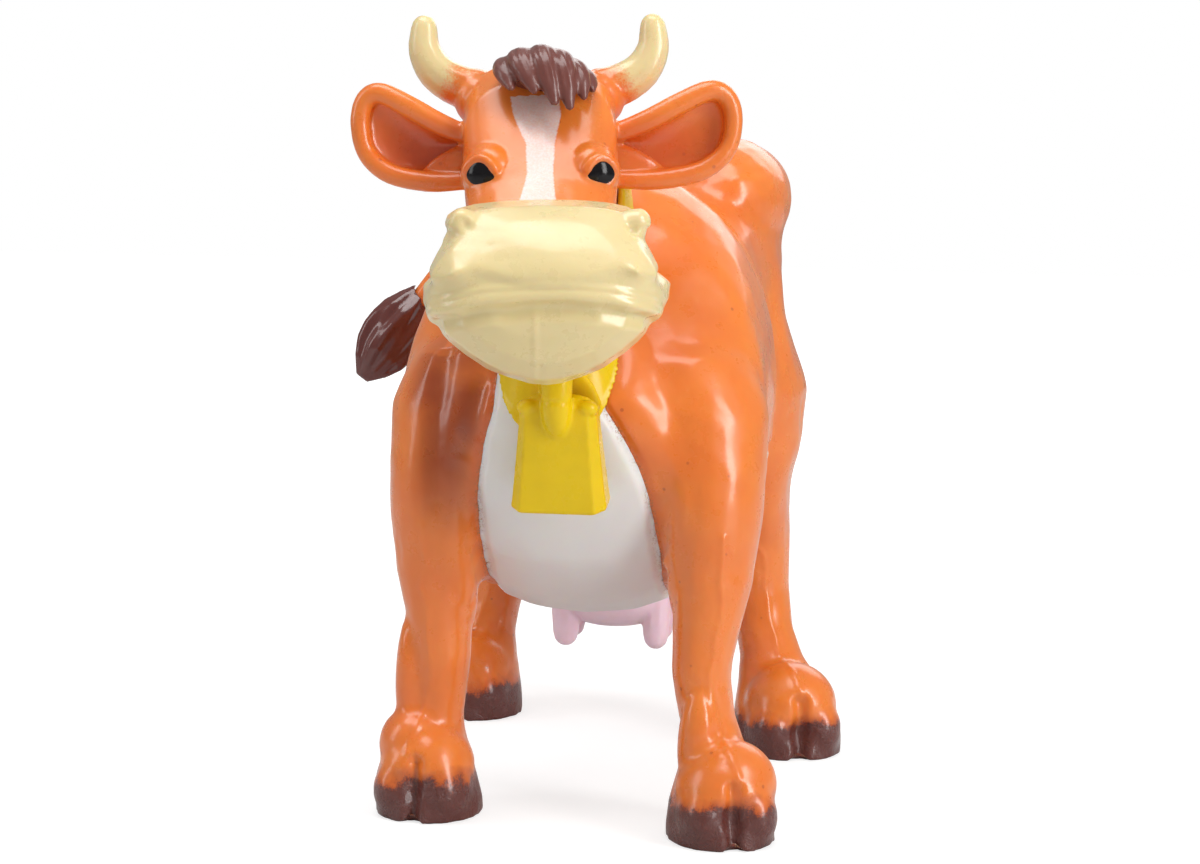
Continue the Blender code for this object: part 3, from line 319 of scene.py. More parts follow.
def cut_along(points, faces, level):
    """Splits a mesh where a value passes zero: the part above, then the part below.

    Each part is its faces in one shared list of points, which comes first with the
    shares of the old points that each point is made of."""
    edge = np.linalg.norm(points[faces[:, 0]] - points[faces[:, 1]], axis=1).mean()
    level = np.where(np.abs(level) < 0.1 * edge, np.copysign(0.1 * edge, level), level)
    above = level > 0
    pairs = edge_pairs(faces)
    crossing = pairs[above[pairs[:, 0]] != above[pairs[:, 1]]]
    share = level[crossing[:, 0]] / (level[crossing[:, 0]] - level[crossing[:, 1]])
    count = len(points)
    key = crossing[:, 0].astype(np.int64) * count + crossing[:, 1]

    def between(a, b):
        wanted = np.minimum(a, b).astype(np.int64) * count + np.maximum(a, b)
        return count + np.searchsorted(key, wanted)

    def blend(values):
        weight = share if values.ndim == 1 else share[:, None]
        start, end = values[crossing[:, 0]], values[crossing[:, 1]]
        return np.concatenate([values, start + weight * (end - start)])

    tops = above[faces].sum(axis=1)
    upper, lower = [faces[tops == 3]], [faces[tops == 0]]
    for lone_above in (True, False):
        mixed = faces[tops == (1 if lone_above else 2)]
        lone = np.argmax(above[mixed] == lone_above, axis=1)
        rows = np.arange(len(mixed))
        a, b, c = (mixed[rows, (lone + turn) % 3] for turn in range(3))
        ab, ac = between(a, b), between(a, c)
        tip = np.stack([a, ab, ac], axis=1)
        rest = [np.stack([ab, b, c], axis=1), np.stack([ab, c, ac], axis=1)]
        (upper if lone_above else lower).append(tip)
        (lower if lone_above else upper).extend(rest)
    return blend, np.concatenate(upper), np.concatenate(lower)


def open_edges(faces):
    """The directed edges of a mesh that only one face uses."""
    edges = np.concatenate([faces[:, [0, 1]], faces[:, [1, 2]], faces[:, [2, 0]]])
    size = int(faces.max()) + 1
    key = edges[:, 0].astype(np.int64) * size + edges[:, 1]
    back = edges[:, 1].astype(np.int64) * size + edges[:, 0]
    return edges[~np.isin(key, back)]


def walls(edges, offset):
    """Faces from open edges to their copies, numbered higher by the offset."""
    a, b = edges[:, 0], edges[:, 1]
    return np.concatenate(
        [np.stack([b, a, a + offset], axis=1), np.stack([b, a + offset, b + offset], axis=1)]
    )


def plate(points, faces, depth, *values):
    """Gives an open skin a thickness, measured inwards from where it lies."""
    points, faces, *values = compact(points, faces, *values)
    inner = points - depth * point_normals(points, faces)
    count = len(points)
    solid = np.concatenate([faces, faces[:, ::-1] + count, walls(open_edges(faces), count)])
    return [np.concatenate([points, inner]), solid] + [
        np.concatenate([value, value]) for value in values
    ]


def capped(points, faces, *values):
    """Closes a skin with a fan over each of its openings."""
    points, faces, *values = compact(points, faces, *values)
    edges = open_edges(faces)
    follow = dict(edges.tolist())
    while follow:
        start, here = follow.popitem()
        loop = [start]
        while here != start:
            loop.append(here)
            here = follow.pop(here)
        centre = len(points)
        points = np.concatenate([points, points[loop].mean(axis=0)[None]])
        values = [np.concatenate([v, v[loop].mean(axis=0)[None]]) for v in values]
        after = loop[1:] + loop[:1]
        fan = [[b, a, centre] for a, b in zip(loop, after)]
        faces = np.concatenate([faces, np.array(fan)])
    return [points, faces] + values


# Forms of the scene's own

def curve(points, count):
    """A smooth path through a few points, resampled evenly in its parameter."""
    points = np.asarray(points, dtype=float)
    padded = np.concatenate([2 * points[:1] - points[1:2], points, 2 * points[-1:] - points[-2:-1]])
    spots = np.linspace(0, len(points) - 1, count)
    left = np.minimum(spots.astype(int), len(points) - 2)
    t = (spots - left)[:, None]
    a, b, c, d = (padded[left + i] for i in range(4))
    return 0.5 * (
        2 * b
        + (c - a) * t
        + (2 * a - 5 * b + 4 * c - d) * t ** 2
        + (3 * b - a - 3 * c + d) * t ** 3
    )


def loft(rings):
    """A closed skin over rings of points, with a fan over each end."""
    rings = np.asarray(rings)
    count, sides, _ = rings.shape
    points = np.concatenate([rings.reshape(-1, 3), rings[[0, -1]].mean(axis=1)])
    faces = []
    around = np.arange(sides)
    after = (around + 1) % sides
    for i in range(count - 1):
        low, high = i * sides, (i + 1) * sides
        faces.append(np.stack([low + around, low + after, high + after], axis=1))
        faces.append(np.stack([low + around, high + after, high + around], axis=1))
    first, last = count * sides, count * sides + 1
    faces.append(np.stack([after, around, np.full(sides, first)], axis=1))
    top = (count - 1) * sides
    faces.append(np.stack([top + around, top + after, np.full(sides, last)], axis=1))
    return points, np.concatenate(faces)


def tube(path, radii, flatness=1.0, up=(0, 0, 1), sides=20):
    """A closed tube with round ends. Its height along up is the radius times flatness."""
    path = np.asarray(path, dtype=float)
    radii = np.interp(np.linspace(0, 1, len(path)), np.linspace(0, 1, len(radii)), radii)
    along = unit(np.gradient(path, axis=0))
    across = unit(np.cross(along, np.asarray(up, dtype=float)))
    rise = np.cross(across, along)
    caps = [(-1, 0), (1, len(path) - 1)]
    spots = [(path[i], radii[i], i) for i in range(len(path))]
    for sign, end in caps:
        extra = []
        for angle in np.radians([30, 60, 82]):
            place = path[end] + sign * along[end] * radii[end] * math.sin(angle)
            extra.append((place, radii[end] * math.cos(angle), end))
        spots = extra[::-1] + spots if sign < 0 else spots + extra
    turn = np.linspace(0, 2 * math.pi, sides, endpoint=False)
    rings = [
        place
        + radius * np.cos(turn)[:, None] * across[i]
        + radius * flatness * np.sin(turn)[:, None] * rise[i]
        for place, radius, i in spots
    ]
    return loft(rings)


def bead(centre, radii, axes=np.eye(3), rows=18):
    """An egg with its half sizes along three axes."""
    turn = np.linspace(0, 2 * math.pi, 2 * rows, endpoint=False)
    rings = []
    for tilt in np.linspace(-math.pi / 2, math.pi / 2, rows + 2)[1:-1]:
        ring = np.stack(
            [
                radii[0] * math.cos(tilt) * np.cos(turn),
                radii[1] * math.cos(tilt) * np.sin(turn),
                np.full(len(turn), radii[2] * math.sin(tilt)),
            ],
            axis=1,
        )
        rings.append(centre + ring @ np.asarray(axes))
    return loft(rings)


class Place:
    """A frame on the model, counted in millimetres aside, ahead and up."""

    def __init__(self, origin, aside, up):
        self.origin = np.asarray(origin, dtype=float)
        aside = unit(np.asarray(aside, dtype=float))
        ahead = unit(np.cross(aside, up))
        self.axes = np.stack([aside, ahead, np.cross(ahead, aside)])

    def at(self, *spots):
        """World places of one spot, or of a list of them."""
        spots = np.asarray(spots if len(spots) != 1 else spots[0], dtype=float)
        return self.origin + MM * spots @ self.axes

    def way(self, *direction):
        return unit(np.asarray(direction, dtype=float) @ self.axes)

    def of(self, points):
        return (points - self.origin) @ self.axes.T / MM

    def bead(self, spot, radii, scale=1.0):
        return bead(self.at(np.array(spot) * scale), np.array(radii) * scale * MM, self.axes)


def mirrored(spot, side):
    """A spot of the left side, or for side -1 its image on the right."""
    return np.array(spot) * (side, 1, 1)


def middle(node):
    return np.mean([list(corner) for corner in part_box(node)], axis=0)


def head_place():
    """Between the eyes, with the left eye aside."""
    left, right = middle("left_eye"), middle("right_eye")
    return Place((left + right) / 2, left - right, (0, 0, 1))




# Materials

class Shader:
    """A material's node tree, with short calls for the nodes that it is made of."""

    def __init__(self, name):
        self.material = bpy.data.materials.new(name)
        self.material.use_nodes = True
        self.tree = self.material.node_tree
        self.base = self.tree.nodes["Principled BSDF"]
        place = self.tree.nodes.new("ShaderNodeTexCoord")
        self.place = place.outputs["Object"]

    def link(self, source, target):
        if isinstance(source, bpy.types.NodeSocket):
            self.tree.links.new(source, target)
        else:
            target.default_value = source

    def node(self, kind, output, inputs, **settings):
        node = self.tree.nodes.new("ShaderNode" + kind)
        for name, value in settings.items():
            setattr(node, name, value)
        for name, value in inputs.items():
            self.link(value, node.inputs[name])
        return node.outputs[output]

    def set(self, **inputs):
        for name, value in inputs.items():
            self.link(value, self.base.inputs[name.replace("_", " ")])

    def math(self, operation, first, second):
        return self.node("Math", 0, {0: first, 1: second}, operation=operation)

    def noise(self, size, detail, roughness=0.55, **more):
        """Noise whose spots are about as large as the size, in metres."""
        inputs = {"Vector": self.place, "Scale": 1 / size, "Detail": detail}
        return self.node("TexNoise", "Fac", {**inputs, "Roughness": roughness, **more})

    def spots(self, size, share, soft=0.06):
        """Sparse specks: one inside a speck, zero between them."""
        inputs = {"Vector": self.place, "Scale": 1 / size}
        distance = self.node("TexVoronoi", "Distance", inputs)
        return self.ramp(distance, share + soft, share)

    def ramp(self, value, low, high, bottom=0.0, top=1.0):
        """Runs evenly from bottom to top as the value goes from low to high."""
        inputs = {"Value": value, "From Min": low, "From Max": high, "To Min": bottom, "To Max": top}
        return self.node("MapRange", 0, inputs, clamp=True)

    def value(self, name):
        return self.node("Attribute", "Fac", {}, attribute_name=name)

    def height(self):
        return self.node("SeparateXYZ", "Z", {"Vector": self.place})

    def mix(self, share, first, second):
        node = self.tree.nodes.new("ShaderNodeMix")
        node.data_type = "RGBA"
        colours = [socket for socket in node.inputs if socket.type == "RGBA"]
        self.link(share, node.inputs[0])
        self.link(first, colours[0])
        self.link(second, colours[1])
        return next(socket for socket in node.outputs if socket.type == "RGBA")

    def bump(self, height, distance, strength=1.0, normal=None):
        inputs = {"Height": height, "Distance": distance, "Strength": strength}
        if normal is not None:
            inputs["Normal"] = normal
        return self.node("Bump", 0, inputs)


def colour(red, green, blue):
    return (red, green, blue, 1.0)


ORANGE = colour(0.84, 0.225, 0.032)
ORANGE_DEEP = colour(0.66, 0.095, 0.014)
RED_SHADE = colour(0.36, 0.045, 0.012)
# Painted shade for the creases of the right shoulder
FOLD_SHADOW_RED = colour(0.27, 0.032, 0.004)
BROWN = colour(0.125, 0.029, 0.021)
HAIR_BROWN = colour(0.165, 0.047, 0.036)
CREAM = colour(0.80, 0.655, 0.335)
CREAM_DEEP = colour(0.74, 0.60, 0.30)
WHITE = colour(0.80, 0.785, 0.775)
PINK = colour(0.93, 0.69, 0.79)
YELLOW = colour(0.84, 0.58, 0.004)
TUFT = colour(0.135, 0.032, 0.025)
BLACK = colour(0.006, 0.005, 0.006)
SEAM_DIRT = colour(0.36, 0.13, 0.035)
STRIPE_WHITE = colour(0.84, 0.66, 0.62)


def vinyl(name, paint, scatter, roughness, coat=0.25, crinkle=1.0):
    """Soft glossy vinyl: light goes a little way into it, most of all red light."""
    shader = Shader(name)
    grain = shader.noise(0.45 * MM, 4)
    dents = shader.noise(1.9 * MM, 3, 0.5)
    swell = shader.noise(8 * MM, 2)
    patches = shader.noise(2.8 * MM, 5, 0.62)
    shader.set(
        Base_Color=paint,
        Roughness=shader.ramp(patches, 0.3, 0.7, roughness - 0.08, roughness + 0.10),
        Subsurface_Weight=scatter,
        Subsurface_Radius=(1.0, 0.30, 0.10),
        Subsurface_Scale=1.6 * MM,
        Coat_Weight=coat,
        Coat_Roughness=0.14,
        IOR=1.5,
    )
    soft = shader.bump(swell, 0.16 * MM, 0.8)
    uneven = shader.bump(dents, 0.035 * MM * crinkle, 0.8, soft)
    shader.set(Normal=shader.bump(grain, 0.010 * MM * crinkle, 0.6, uneven))
    shader.fine = shader.noise(0.24 * MM, 4, 0.75)
    return shader


def orange_skin(shader):
    """Orange with deeper, redder clouds and a few dark specks."""
    clouds = shader.ramp(shader.noise(10 * MM, 4), 0.38, 0.75, 0.0, 0.42)
    skin = shader.mix(clouds, ORANGE, ORANGE_DEEP)
    specks = shader.spots(3.4 * MM, 0.045, 0.03)
    return shader.mix(shader.math("MULTIPLY", specks, 0.5), skin, RED_SHADE)


def head_vinyl(name):
    """Orange vinyl with cream horns, a pale stripe, brown spray round the forelock and painted shade deep
    in the ears.
    """
    shader = vinyl(name, ORANGE, 0.30, 0.30, 0.4)
    skin = orange_skin(shader)
    # Painted shade: darker orange deep in the ear hollows
    hollow = shader.ramp(shader.value("hollow"), 0.1, 0.9, 0.0, 0.62)
    skin = shader.mix(hollow, skin, ORANGE_DEEP)
    grit = shader.ramp(shader.fine, 0.3, 0.7, -0.5, 0.5)
    broad = shader.ramp(shader.noise(2.2 * MM, 2), 0.3, 0.7, -0.35, 0.35)
    edge = shader.math("ADD", grit, broad)
    blaze = shader.math("ADD", shader.value("blaze"), shader.math("MULTIPLY", edge, 0.14))
    stripe = shader.ramp(blaze, -0.06, 0.10)
    thin = shader.ramp(shader.fine, 0.40, 0.62, 0.72, 1.0)
    skin = shader.mix(shader.math("MULTIPLY", stripe, thin), skin, STRIPE_WHITE)
    horn = shader.math("ADD", shader.value("horn"), shader.math("MULTIPLY", edge, 1.5))
    skin = shader.mix(shader.ramp(horn, 3.0, 4.6), skin, CREAM)
    spray = shader.math("SUBTRACT", 0.55, shader.value("spray"))
    spray = shader.math("ADD", spray, shader.math("MULTIPLY", grit, 0.6))
    skin = shader.mix(shader.ramp(spray, -0.15, 0.75, 0.0, 0.92), skin, BROWN)
    shader.set(Base_Color=skin)
    return shader


def bib_vinyl(name):
    """Satin white with dirt and orange rubbed into its edge."""
    shader = vinyl(name, WHITE, 0.25, 0.42, 0.1, 0.6)
    near = shader.ramp(shader.value("seam"), 0.9, 0.0)
    broken = shader.ramp(shader.fine, 0.50, 0.58)
    broad = shader.ramp(shader.noise(2.5 * MM, 2), 0.42, 0.6)
    share = shader.math("MULTIPLY", shader.math("MULTIPLY", near, broken), broad)
    shader.set(Base_Color=shader.mix(share, WHITE, SEAM_DIRT))
    return shader


def orange_vinyl(name):
    """Orange vinyl with brown sprayed on the hooves, and painted shade in the shoulder's folds and along
    the bib's seam.
    """
    shader = vinyl(name, ORANGE, 0.30, 0.30, 0.4)
    skin = orange_skin(shader)
    # Painted shade: dark red in the folds of the right shoulder
    fold = shader.ramp(shader.value("fold"), 0.0, 1.0, 0.0, 0.82)
    skin = shader.mix(fold, skin, FOLD_SHADOW_RED)
    seam = shader.value("seam")
    # Painted shade: a darker orange band along the seam of the bib, where the groove is
    skin = shader.mix(shader.ramp(seam, -1.6, -0.1, 0.0, 0.55), skin, ORANGE_DEEP)
    dirt = shader.math("MULTIPLY", shader.ramp(seam, -0.6, -0.05), shader.ramp(shader.fine, 0.52, 0.58))
    skin = shader.mix(dirt, skin, SEAM_DIRT)
    height = shader.height()
    wander = shader.ramp(shader.noise(3.2 * MM, 3), 0.3, 0.7, 3.4 * MM, 5.3 * MM)
    over = shader.math("SUBTRACT", wander, height)
    spray = shader.math("ADD", over, shader.ramp(shader.fine, 0.25, 0.75, -0.7 * MM, 0.7 * MM))
    skin = shader.mix(shader.ramp(over, -1.6 * MM, 0.2 * MM, 0.0, 0.75), skin, RED_SHADE)
    hoof = shader.ramp(spray, -0.25 * MM, 0.45 * MM)
    shader.set(Base_Color=shader.mix(hoof, skin, BROWN))
    crumple = shader.noise(1.5 * MM, 5, 0.7, Distortion=0.8)
    smooth = shader.base.inputs["Normal"].links[0].from_socket
    shader.set(Normal=shader.bump(crumple, 0.40 * MM, shader.math("MULTIPLY", hoof, 0.8), smooth))
    return shader


def plain_vinyl(name, paint, scatter=0.2, roughness=0.34, coat=0.2):
    shader = vinyl(name, paint, scatter, roughness, coat)
    lighter = tuple(min(1, 1.03 * part) for part in paint[:3]) + (1.0,)
    darker = tuple(0.90 * part for part in paint[:3]) + (1.0,)
    cloud = shader.ramp(shader.noise(5 * MM, 4), 0.25, 0.75)
    shader.set(Base_Color=shader.mix(cloud, darker, lighter))
    return shader


def muzzle_vinyl(name):
    """Cream vinyl in uneven clouds, with painted shade in the groove under the upper lip."""
    shader = vinyl(name, CREAM, 0.25, 0.30, 0.4)
    cloud = shader.ramp(shader.noise(5 * MM, 4), 0.25, 0.75, 0.0, 0.35)
    skin = shader.mix(cloud, CREAM, CREAM_DEEP)
    # Painted shade: darker cream close to the groove under the upper lip
    line = shader.ramp(shader.value("mouth"), 0.45, 0.12, 0.0, 0.45)
    shader.set(Base_Color=shader.mix(line, skin, CREAM_DEEP))
    return shader


# Pieces

def add_piece(name, mesh, material, nodes, values=None):
    """A finished piece of the figure, in place of the nodes that it covers."""
    piece = mesh_object(name, *mesh, values)
    piece.data.materials.append(material.material)
    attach(piece, "root")
    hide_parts(*nodes)
    return piece


def collar_plane():
    """The middle of the collar and the direction square to its ring, headwards."""
    points, _ = node_arrays("collar")
    centre = points.mean(axis=0)
    _, _, axes = np.linalg.svd(points - centre, full_matrices=False)
    headwards = axes[2]
    if headwards @ (middle("head") - centre) < 0:
        headwards = -headwards
    return centre, headwards


def cut_from_neck(points, faces, keep_head):
    """The part of a skin on one side of the collar's plane, closed again."""
    centre, headwards = collar_plane()
    level = (points - centre) @ headwards
    blend, above, below = cut_along(points, faces, level)
    return capped(blend(points), above if keep_head else below)


NECK_REACH = 9 * MM
NECK_SIDES = {"left": 1.3 * MM, "right": 0.2 * MM}


def narrowed_neck(points):
    """Draws the sides of the neck in near the collar."""
    centre, headwards = collar_plane()
    share = falloff(np.abs((points - centre) @ headwards), NECK_REACH)
    off = points[:, 0] - centre[0]
    share = share * np.clip(np.abs(off) / (8 * MM), 0, 1) ** 2
    moved = points.copy()
    moved[:, 0] -= share * np.where(off > 0, NECK_SIDES["left"], -NECK_SIDES["right"])
    return moved


HEAD_VOXEL = 0.27 * MM

# Ear in millimetres from its root: outwards, up and back, with the rim's radius.
EAR_ROOT = (7.3, -5.6, 1.7)
EAR_RIM = [
    (-1.4, 2.3, 0.6, 0.95),
    (0.6, 2.5, 0.3, 1.05),
    (3.6, 3.7, 0.1, 1.20),
    (6.9, 5.6, 0.2, 1.20),
    (9.6, 6.9, 0.6, 1.15),
    (11.2, 6.3, 1.0, 1.10),
    (11.9, 4.2, 1.1, 1.05),
    (11.6, 1.4, 1.0, 1.00),
    (10.4, -0.5, 0.7, 1.05),
    (8.3, -1.8, 0.4, 1.10),
    (4.8, -2.5, 0.1, 1.10),
    (1.6, -2.5, 0.2, 1.00),
    (-1.4, -2.2, 0.6, 0.90),
]
EAR_LOBE = [(-1.2, 0.2, 1.3), (1.2, -0.3, 0.9), (3.4, -1.1, 0.8), (5.2, -2.0, 0.9)]
EAR_REACH = {1: 1.13, -1: 1.0}
EAR_HOLLOW = 1.7
EAR_WALL = 1.1
EAR_SET_BACK = 0.5
EAR_MIDDLE = (5.6, 1.1)


def ear_forms(head, side):
    """The rolled rim, the hollow leaf and the fold inside one ear."""

    def spot(out, up, back):
        reach = EAR_REACH[side] * out
        return (side * (EAR_ROOT[0] + reach), EAR_ROOT[1] - back, EAR_ROOT[2] + up)

    rim = curve(EAR_RIM, 61)
    path = head.at([spot(*row[:3]) for row in rim])
    forms = [tube(path, rim[:, 3] * MM, up=head.axes[1])]
    lobe = head.at([spot(*row) for row in curve(EAR_LOBE, 17)])
    forms.append(tube(lobe, np.array([1.9, 1.7, 1.3, 0.7]) * MM, 0.62, up=head.axes[1]))
    rings = []
    for share, behind in [(s, 0) for s in (0.04, 0.2, 0.4, 0.6, 0.8, 0.97)] + [
        (s, EAR_WALL) for s in (0.97, 0.8, 0.6, 0.4, 0.2, 0.04)
    ]:
        hollow = EAR_HOLLOW * (1 - share ** 2.6) + 0.25 + behind
        ring = [
            spot(
                EAR_MIDDLE[0] + share * (out - EAR_MIDDLE[0]),
                EAR_MIDDLE[1] + share * (up - EAR_MIDDLE[1]),
                EAR_SET_BACK + share ** 2 * (back - EAR_SET_BACK) + hollow,
            )
            for out, up, back, _ in rim
        ]
        rings.append(head.at(ring))
    return forms + [loft(rings)]


def ear_hollow_shade(local):
    """Where painted shade lies inside the leaf of an ear: one deep inside, falling to zero at its rim."""
    share = np.zeros(len(local))
    for side in (1, -1):
        out = (side * local[:, 0] - EAR_ROOT[0]) / EAR_REACH[side]
        off = np.stack([(out - 4.6) / 6.2, (local[:, 2] - EAR_ROOT[2] - 1.0) / 3.4], axis=1)
        inside = np.clip(1.25 - np.linalg.norm(off, axis=1), 0, 1)
        share = np.maximum(share, np.where(out > -1.5, inside, 0))
    return share


# Eye in millimetres: its almond outline about the pupil, from the nose side round.
EYE_GAZE = (0.34, 0.93, 0.02)
EYE_POINTS = 48
EYE_OUTLINE = [
    (-2.25, -0.9),
    (-1.5, 0.75),
    (0.0, 1.75),
    (1.5, 1.15),
    (2.3, -0.1),
    (1.5, -1.3),
    (0.0, -1.75),
    (-1.4, -1.55),
]


def eye_radius():
    low, high = (np.array(corner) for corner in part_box("left_eye"))
    return (high - low).mean() / 2


def eye_curve(head, side):
    """The lid line of one eye as directions from the middle of the eyeball."""
    outline = np.array(EYE_OUTLINE + EYE_OUTLINE[:1], dtype=float)
    outline = curve(outline, EYE_POINTS + 1)[:-1]
    gaze = head.way(*mirrored(EYE_GAZE, side))
    across = unit(head.axes[0] - (head.axes[0] @ gaze) * gaze)
    upward = np.cross(across, gaze)
    if upward @ head.axes[2] < 0:
        upward = -upward
    return gaze, across, upward, outline * (side, 1)


def eye_forms(head, side):
    """The eyeball below the skin and the two lids round it."""
    centre = middle("left_eye" if side > 0 else "right_eye")
    radius = eye_radius()
    gaze, across, upward, outline = eye_curve(head, side)
    forms = [bead(centre, (radius + 0.42 * MM,) * 3)]
    reach = radius + 0.35 * MM
    flat = outline * MM
    ways = unit(gaze * reach + flat[:, :1] * across + flat[:, 1:] * upward)
    lid = centre + ways * reach
    lid = np.concatenate([lid, lid[:3]])
    thick = np.where(flat[:, 1] > 0, 0.55, 0.36) * MM
    forms.append(tube(lid, np.concatenate([thick, thick[:3]])))
    return forms


def eye_bead(head, side, material):
    """A glossy dark almond that lies on the eyeball between the lids."""
    name = "left_eye" if side > 0 else "right_eye"
    centre = middle(name)
    radius = eye_radius() + 0.52 * MM
    gaze, across, upward, outline = eye_curve(head, side)
    rings = []
    for share, lift in [(0.05, 0.10), (0.3, 0.10), (0.6, 0.08), (0.85, 0.03), (1.0, -0.15)]:
        flat = outline * share * MM
        ways = unit(gaze * radius + flat[:, :1] * across + flat[:, 1:] * upward)
        rings.append(centre + ways * (radius + lift * MM))
    for share in (1.0, 0.6, 0.05):
        flat = outline * share * MM
        ways = unit(gaze * radius + flat[:, :1] * across + flat[:, 1:] * upward)
        rings.append(centre + ways * (radius - 0.8 * MM))
    piece = add_piece(f"{name}_bead", loft(rings), material, [name])
    shape = piece.modifiers.new("round", "SUBSURF")
    shape.levels = shape.render_levels = 2


HORN_SIDES = {"left_horn": 1, "right_horn": -1}
HORN_REACH = 0.45 * MM
HORN_BOSS = ((6.7, -8.8, 7.9), (2.5, 2.7, 2.8))
BLAZE = [(-0.4, -3.4, 2.0), (-0.1, 0.0, 1.35), (0.0, 3.0, 1.5), (-0.3, 6.0, 2.5), (-0.6, 8.4, 2.6)]


def blaze_distance(local):
    """Millimetres inside the white stripe down the face, negative outside it."""
    up = np.array([row[1] for row in BLAZE])
    middle_line = np.interp(local[:, 2], up, [row[0] for row in BLAZE])
    half = np.interp(local[:, 2], up, [row[2] for row in BLAZE])
    across = half - np.abs(local[:, 0] - middle_line)
    inside = np.minimum(across, np.minimum(up[-1] - local[:, 2], local[:, 2] - up[0]))
    return np.where(local[:, 1] > -3.0, inside, -9.0)


def head_skin(material):
    """Head, ears, horns and the top of the neck as one skin."""
    head = head_place()
    neck = skin_over(["torso", "head"], BODY_VOXEL)[:2]
    parts = [cut_from_neck(*neck, True)]
    parts += [welded(*node_arrays(name)) for name in HORN_SIDES]
    spot, radii = HORN_BOSS
    for side in (1, -1):
        parts.append(head.bead(mirrored(spot, side), radii))
        parts += ear_forms(head, side)
        parts += eye_forms(head, side)
    start, bend, tip, thick, thin = ORANGE_LOCK
    lock = head.at(curve([start, bend, tip], 22))
    parts.append(tube(lock, np.array([thick, thick, thick, thin, 0.2]) * MM, 0.8, head.axes[1]))
    points, faces, neighbours = fused(parts, HEAD_VOXEL, 6)
    points = narrowed_neck(points)
    local = head.of(points)
    hair = [tube(head.at(curve(row[:3], 12)), np.full(4, row[3]) * MM) for row in LOCKS]
    spray = distance_to(joined(hair), points) / MM
    horn = np.full(len(points), -9.0)
    for name, side in HORN_SIDES.items():
        reach = np.linalg.norm(local - mirrored(HORN_BOSS[0], side), axis=1)
        near = distance_to(node_arrays(name), points) < HORN_REACH
        horn = np.where(near, np.maximum(horn, reach), horn)
    values = {"horn": smoothed(horn, neighbours, 3), "spray": spray}
    values |= {"blaze": blaze_distance(local), "hollow": ear_hollow_shade(local)}
    nodes = ["head", "left_ear", "right_ear", *HORN_SIDES]
    add_piece("head_skin", (points, faces), material, nodes, values)


# Body in millimetres from the middle of the trunk: aside, ahead, up, radius, swell
BODY_FORMS = [
    (17.5, 22, 47, 11, 0.9),
    (16.0, 25, 35, 8, 0.7),
    (20.5, 9, 41, 9, -0.9),
    (9.5, 27, 58, 7, -0.7),
    (19.0, -8, 57, 10, -1.5),
    (20.0, -24, 47, 11, 0.7),
    (13.5, -21, 73, 4.5, 0.5),
    (8.0, -7, 72, 9, -0.7),
    (13.0, -33, 66, 7, -0.6),
]
FLANK_FORMS = [
    (22.5, -20.5, 53, 9, -1.2),
    (22.6, -19, 32, 8, -1.2),
    (22.6, -20, 41, 7, -0.2),
    (12.0, 27, 45, 3.2, -0.45),
    (17.5, 28, 40, 3.0, 0.30),
]
# Folds of the right shoulder, sculpted as grooves with painted shade along them: aside, ahead and up
FOLDS = [
    [(-15.6, 30, 58), (-15.3, 31, 50), (-14.6, 32, 40), (-13.4, 32, 31)],
    [(-11.0, 32, 52), (-11.4, 32, 46), (-12.2, 32, 38)],
]
FOLD_STROKE = (1.9, -0.55)
FOLD_SHADE = 5.0 * MM
BIB_THICKNESS = 1.2 * MM
BIB_TOP = ((-2.6, 32.5, 50), 9.0, 1.2)
BIB_GROOVE = (1.2, 0.42)
BIB_BANK = (3.6, 2.6, 0.42)

# Foot in millimetres from the middle of its sole, before the size of the foot
TOE_OUT = {"left": math.radians(18), "right": math.radians(-6)}
TOE_FORM = ((2.7, 2.4, 2.9), (3.1, 4.2, 3.9))
HEEL_FORM = ((0, -2.2, 4.6), (4.7, 4.0, 5.4))
DOME_FORM = ((0, 1.0, 5.4), (5.6, 5.3, 5.2))
FOOT_FORMS = {
    "front_right_leg": [((-2.0, -0.3, 14.5), (2.3, 3.0, 9.0)), ((-1.5, 0.6, 7.6), (4.3, 4.6, 4.6))],
    "front_left_leg": [((-2.5, -0.8, 9.5), (2.5, 2.8, 7.5)), ((0.5, 0.8, 6.0), (5.6, 5.0, 5.2))],
}
CLEFT = [(0, 7.6, -1.6), (0, 7.6, 1.6), (0, 6.9, 4.2), (0, 5.6, 6.6)]
CLEFT_STROKE = (1.35, -1.05)
REAR_FOOT = 1.08
KNUCKLE = ((2.6, 4.6, 5.6), 2.6, 0.25)
MOULD_LINE = (0.55, 0.16)


def foot_places():
    """A frame on each sole, turned as the toes are, with the size of the foot."""
    places = {}
    for name in LEG_NODES:
        points, _ = node_arrays(name)
        sole = points[points[:, 2] < 0.1 * MM]
        middle_point = (sole.min(axis=0) + sole.max(axis=0)) / 2
        toe = TOE_OUT[name.split("_")[1]]
        aside = (math.cos(toe), math.sin(toe), 0)
        scale = REAR_FOOT if name.startswith("rear") else 1.0
        places[name] = (Place(middle_point, aside, (0, 0, 1)), scale)
    return places


def foot_forms(places):
    forms = []
    for place, scale in places.values():
        spot, radii = TOE_FORM
        forms += [place.bead(mirrored(spot, side), radii, scale) for side in (1, -1)]
        forms += [place.bead(*form, scale) for form in (HEEL_FORM, DOME_FORM)]
    for name, beads in FOOT_FORMS.items():
        forms += [places[name][0].bead(*form) for form in beads]
    return forms


def clipped(form, floor=0.0):
    points, faces = form
    points = points.copy()
    points[:, 2] = np.maximum(points[:, 2], floor)
    return points, faces


def trunk_place():
    """On the floor under the middle of the trunk."""
    spot = middle("torso")
    return Place((spot[0], spot[1], 0), (1, 0, 0), (0, 0, 1))


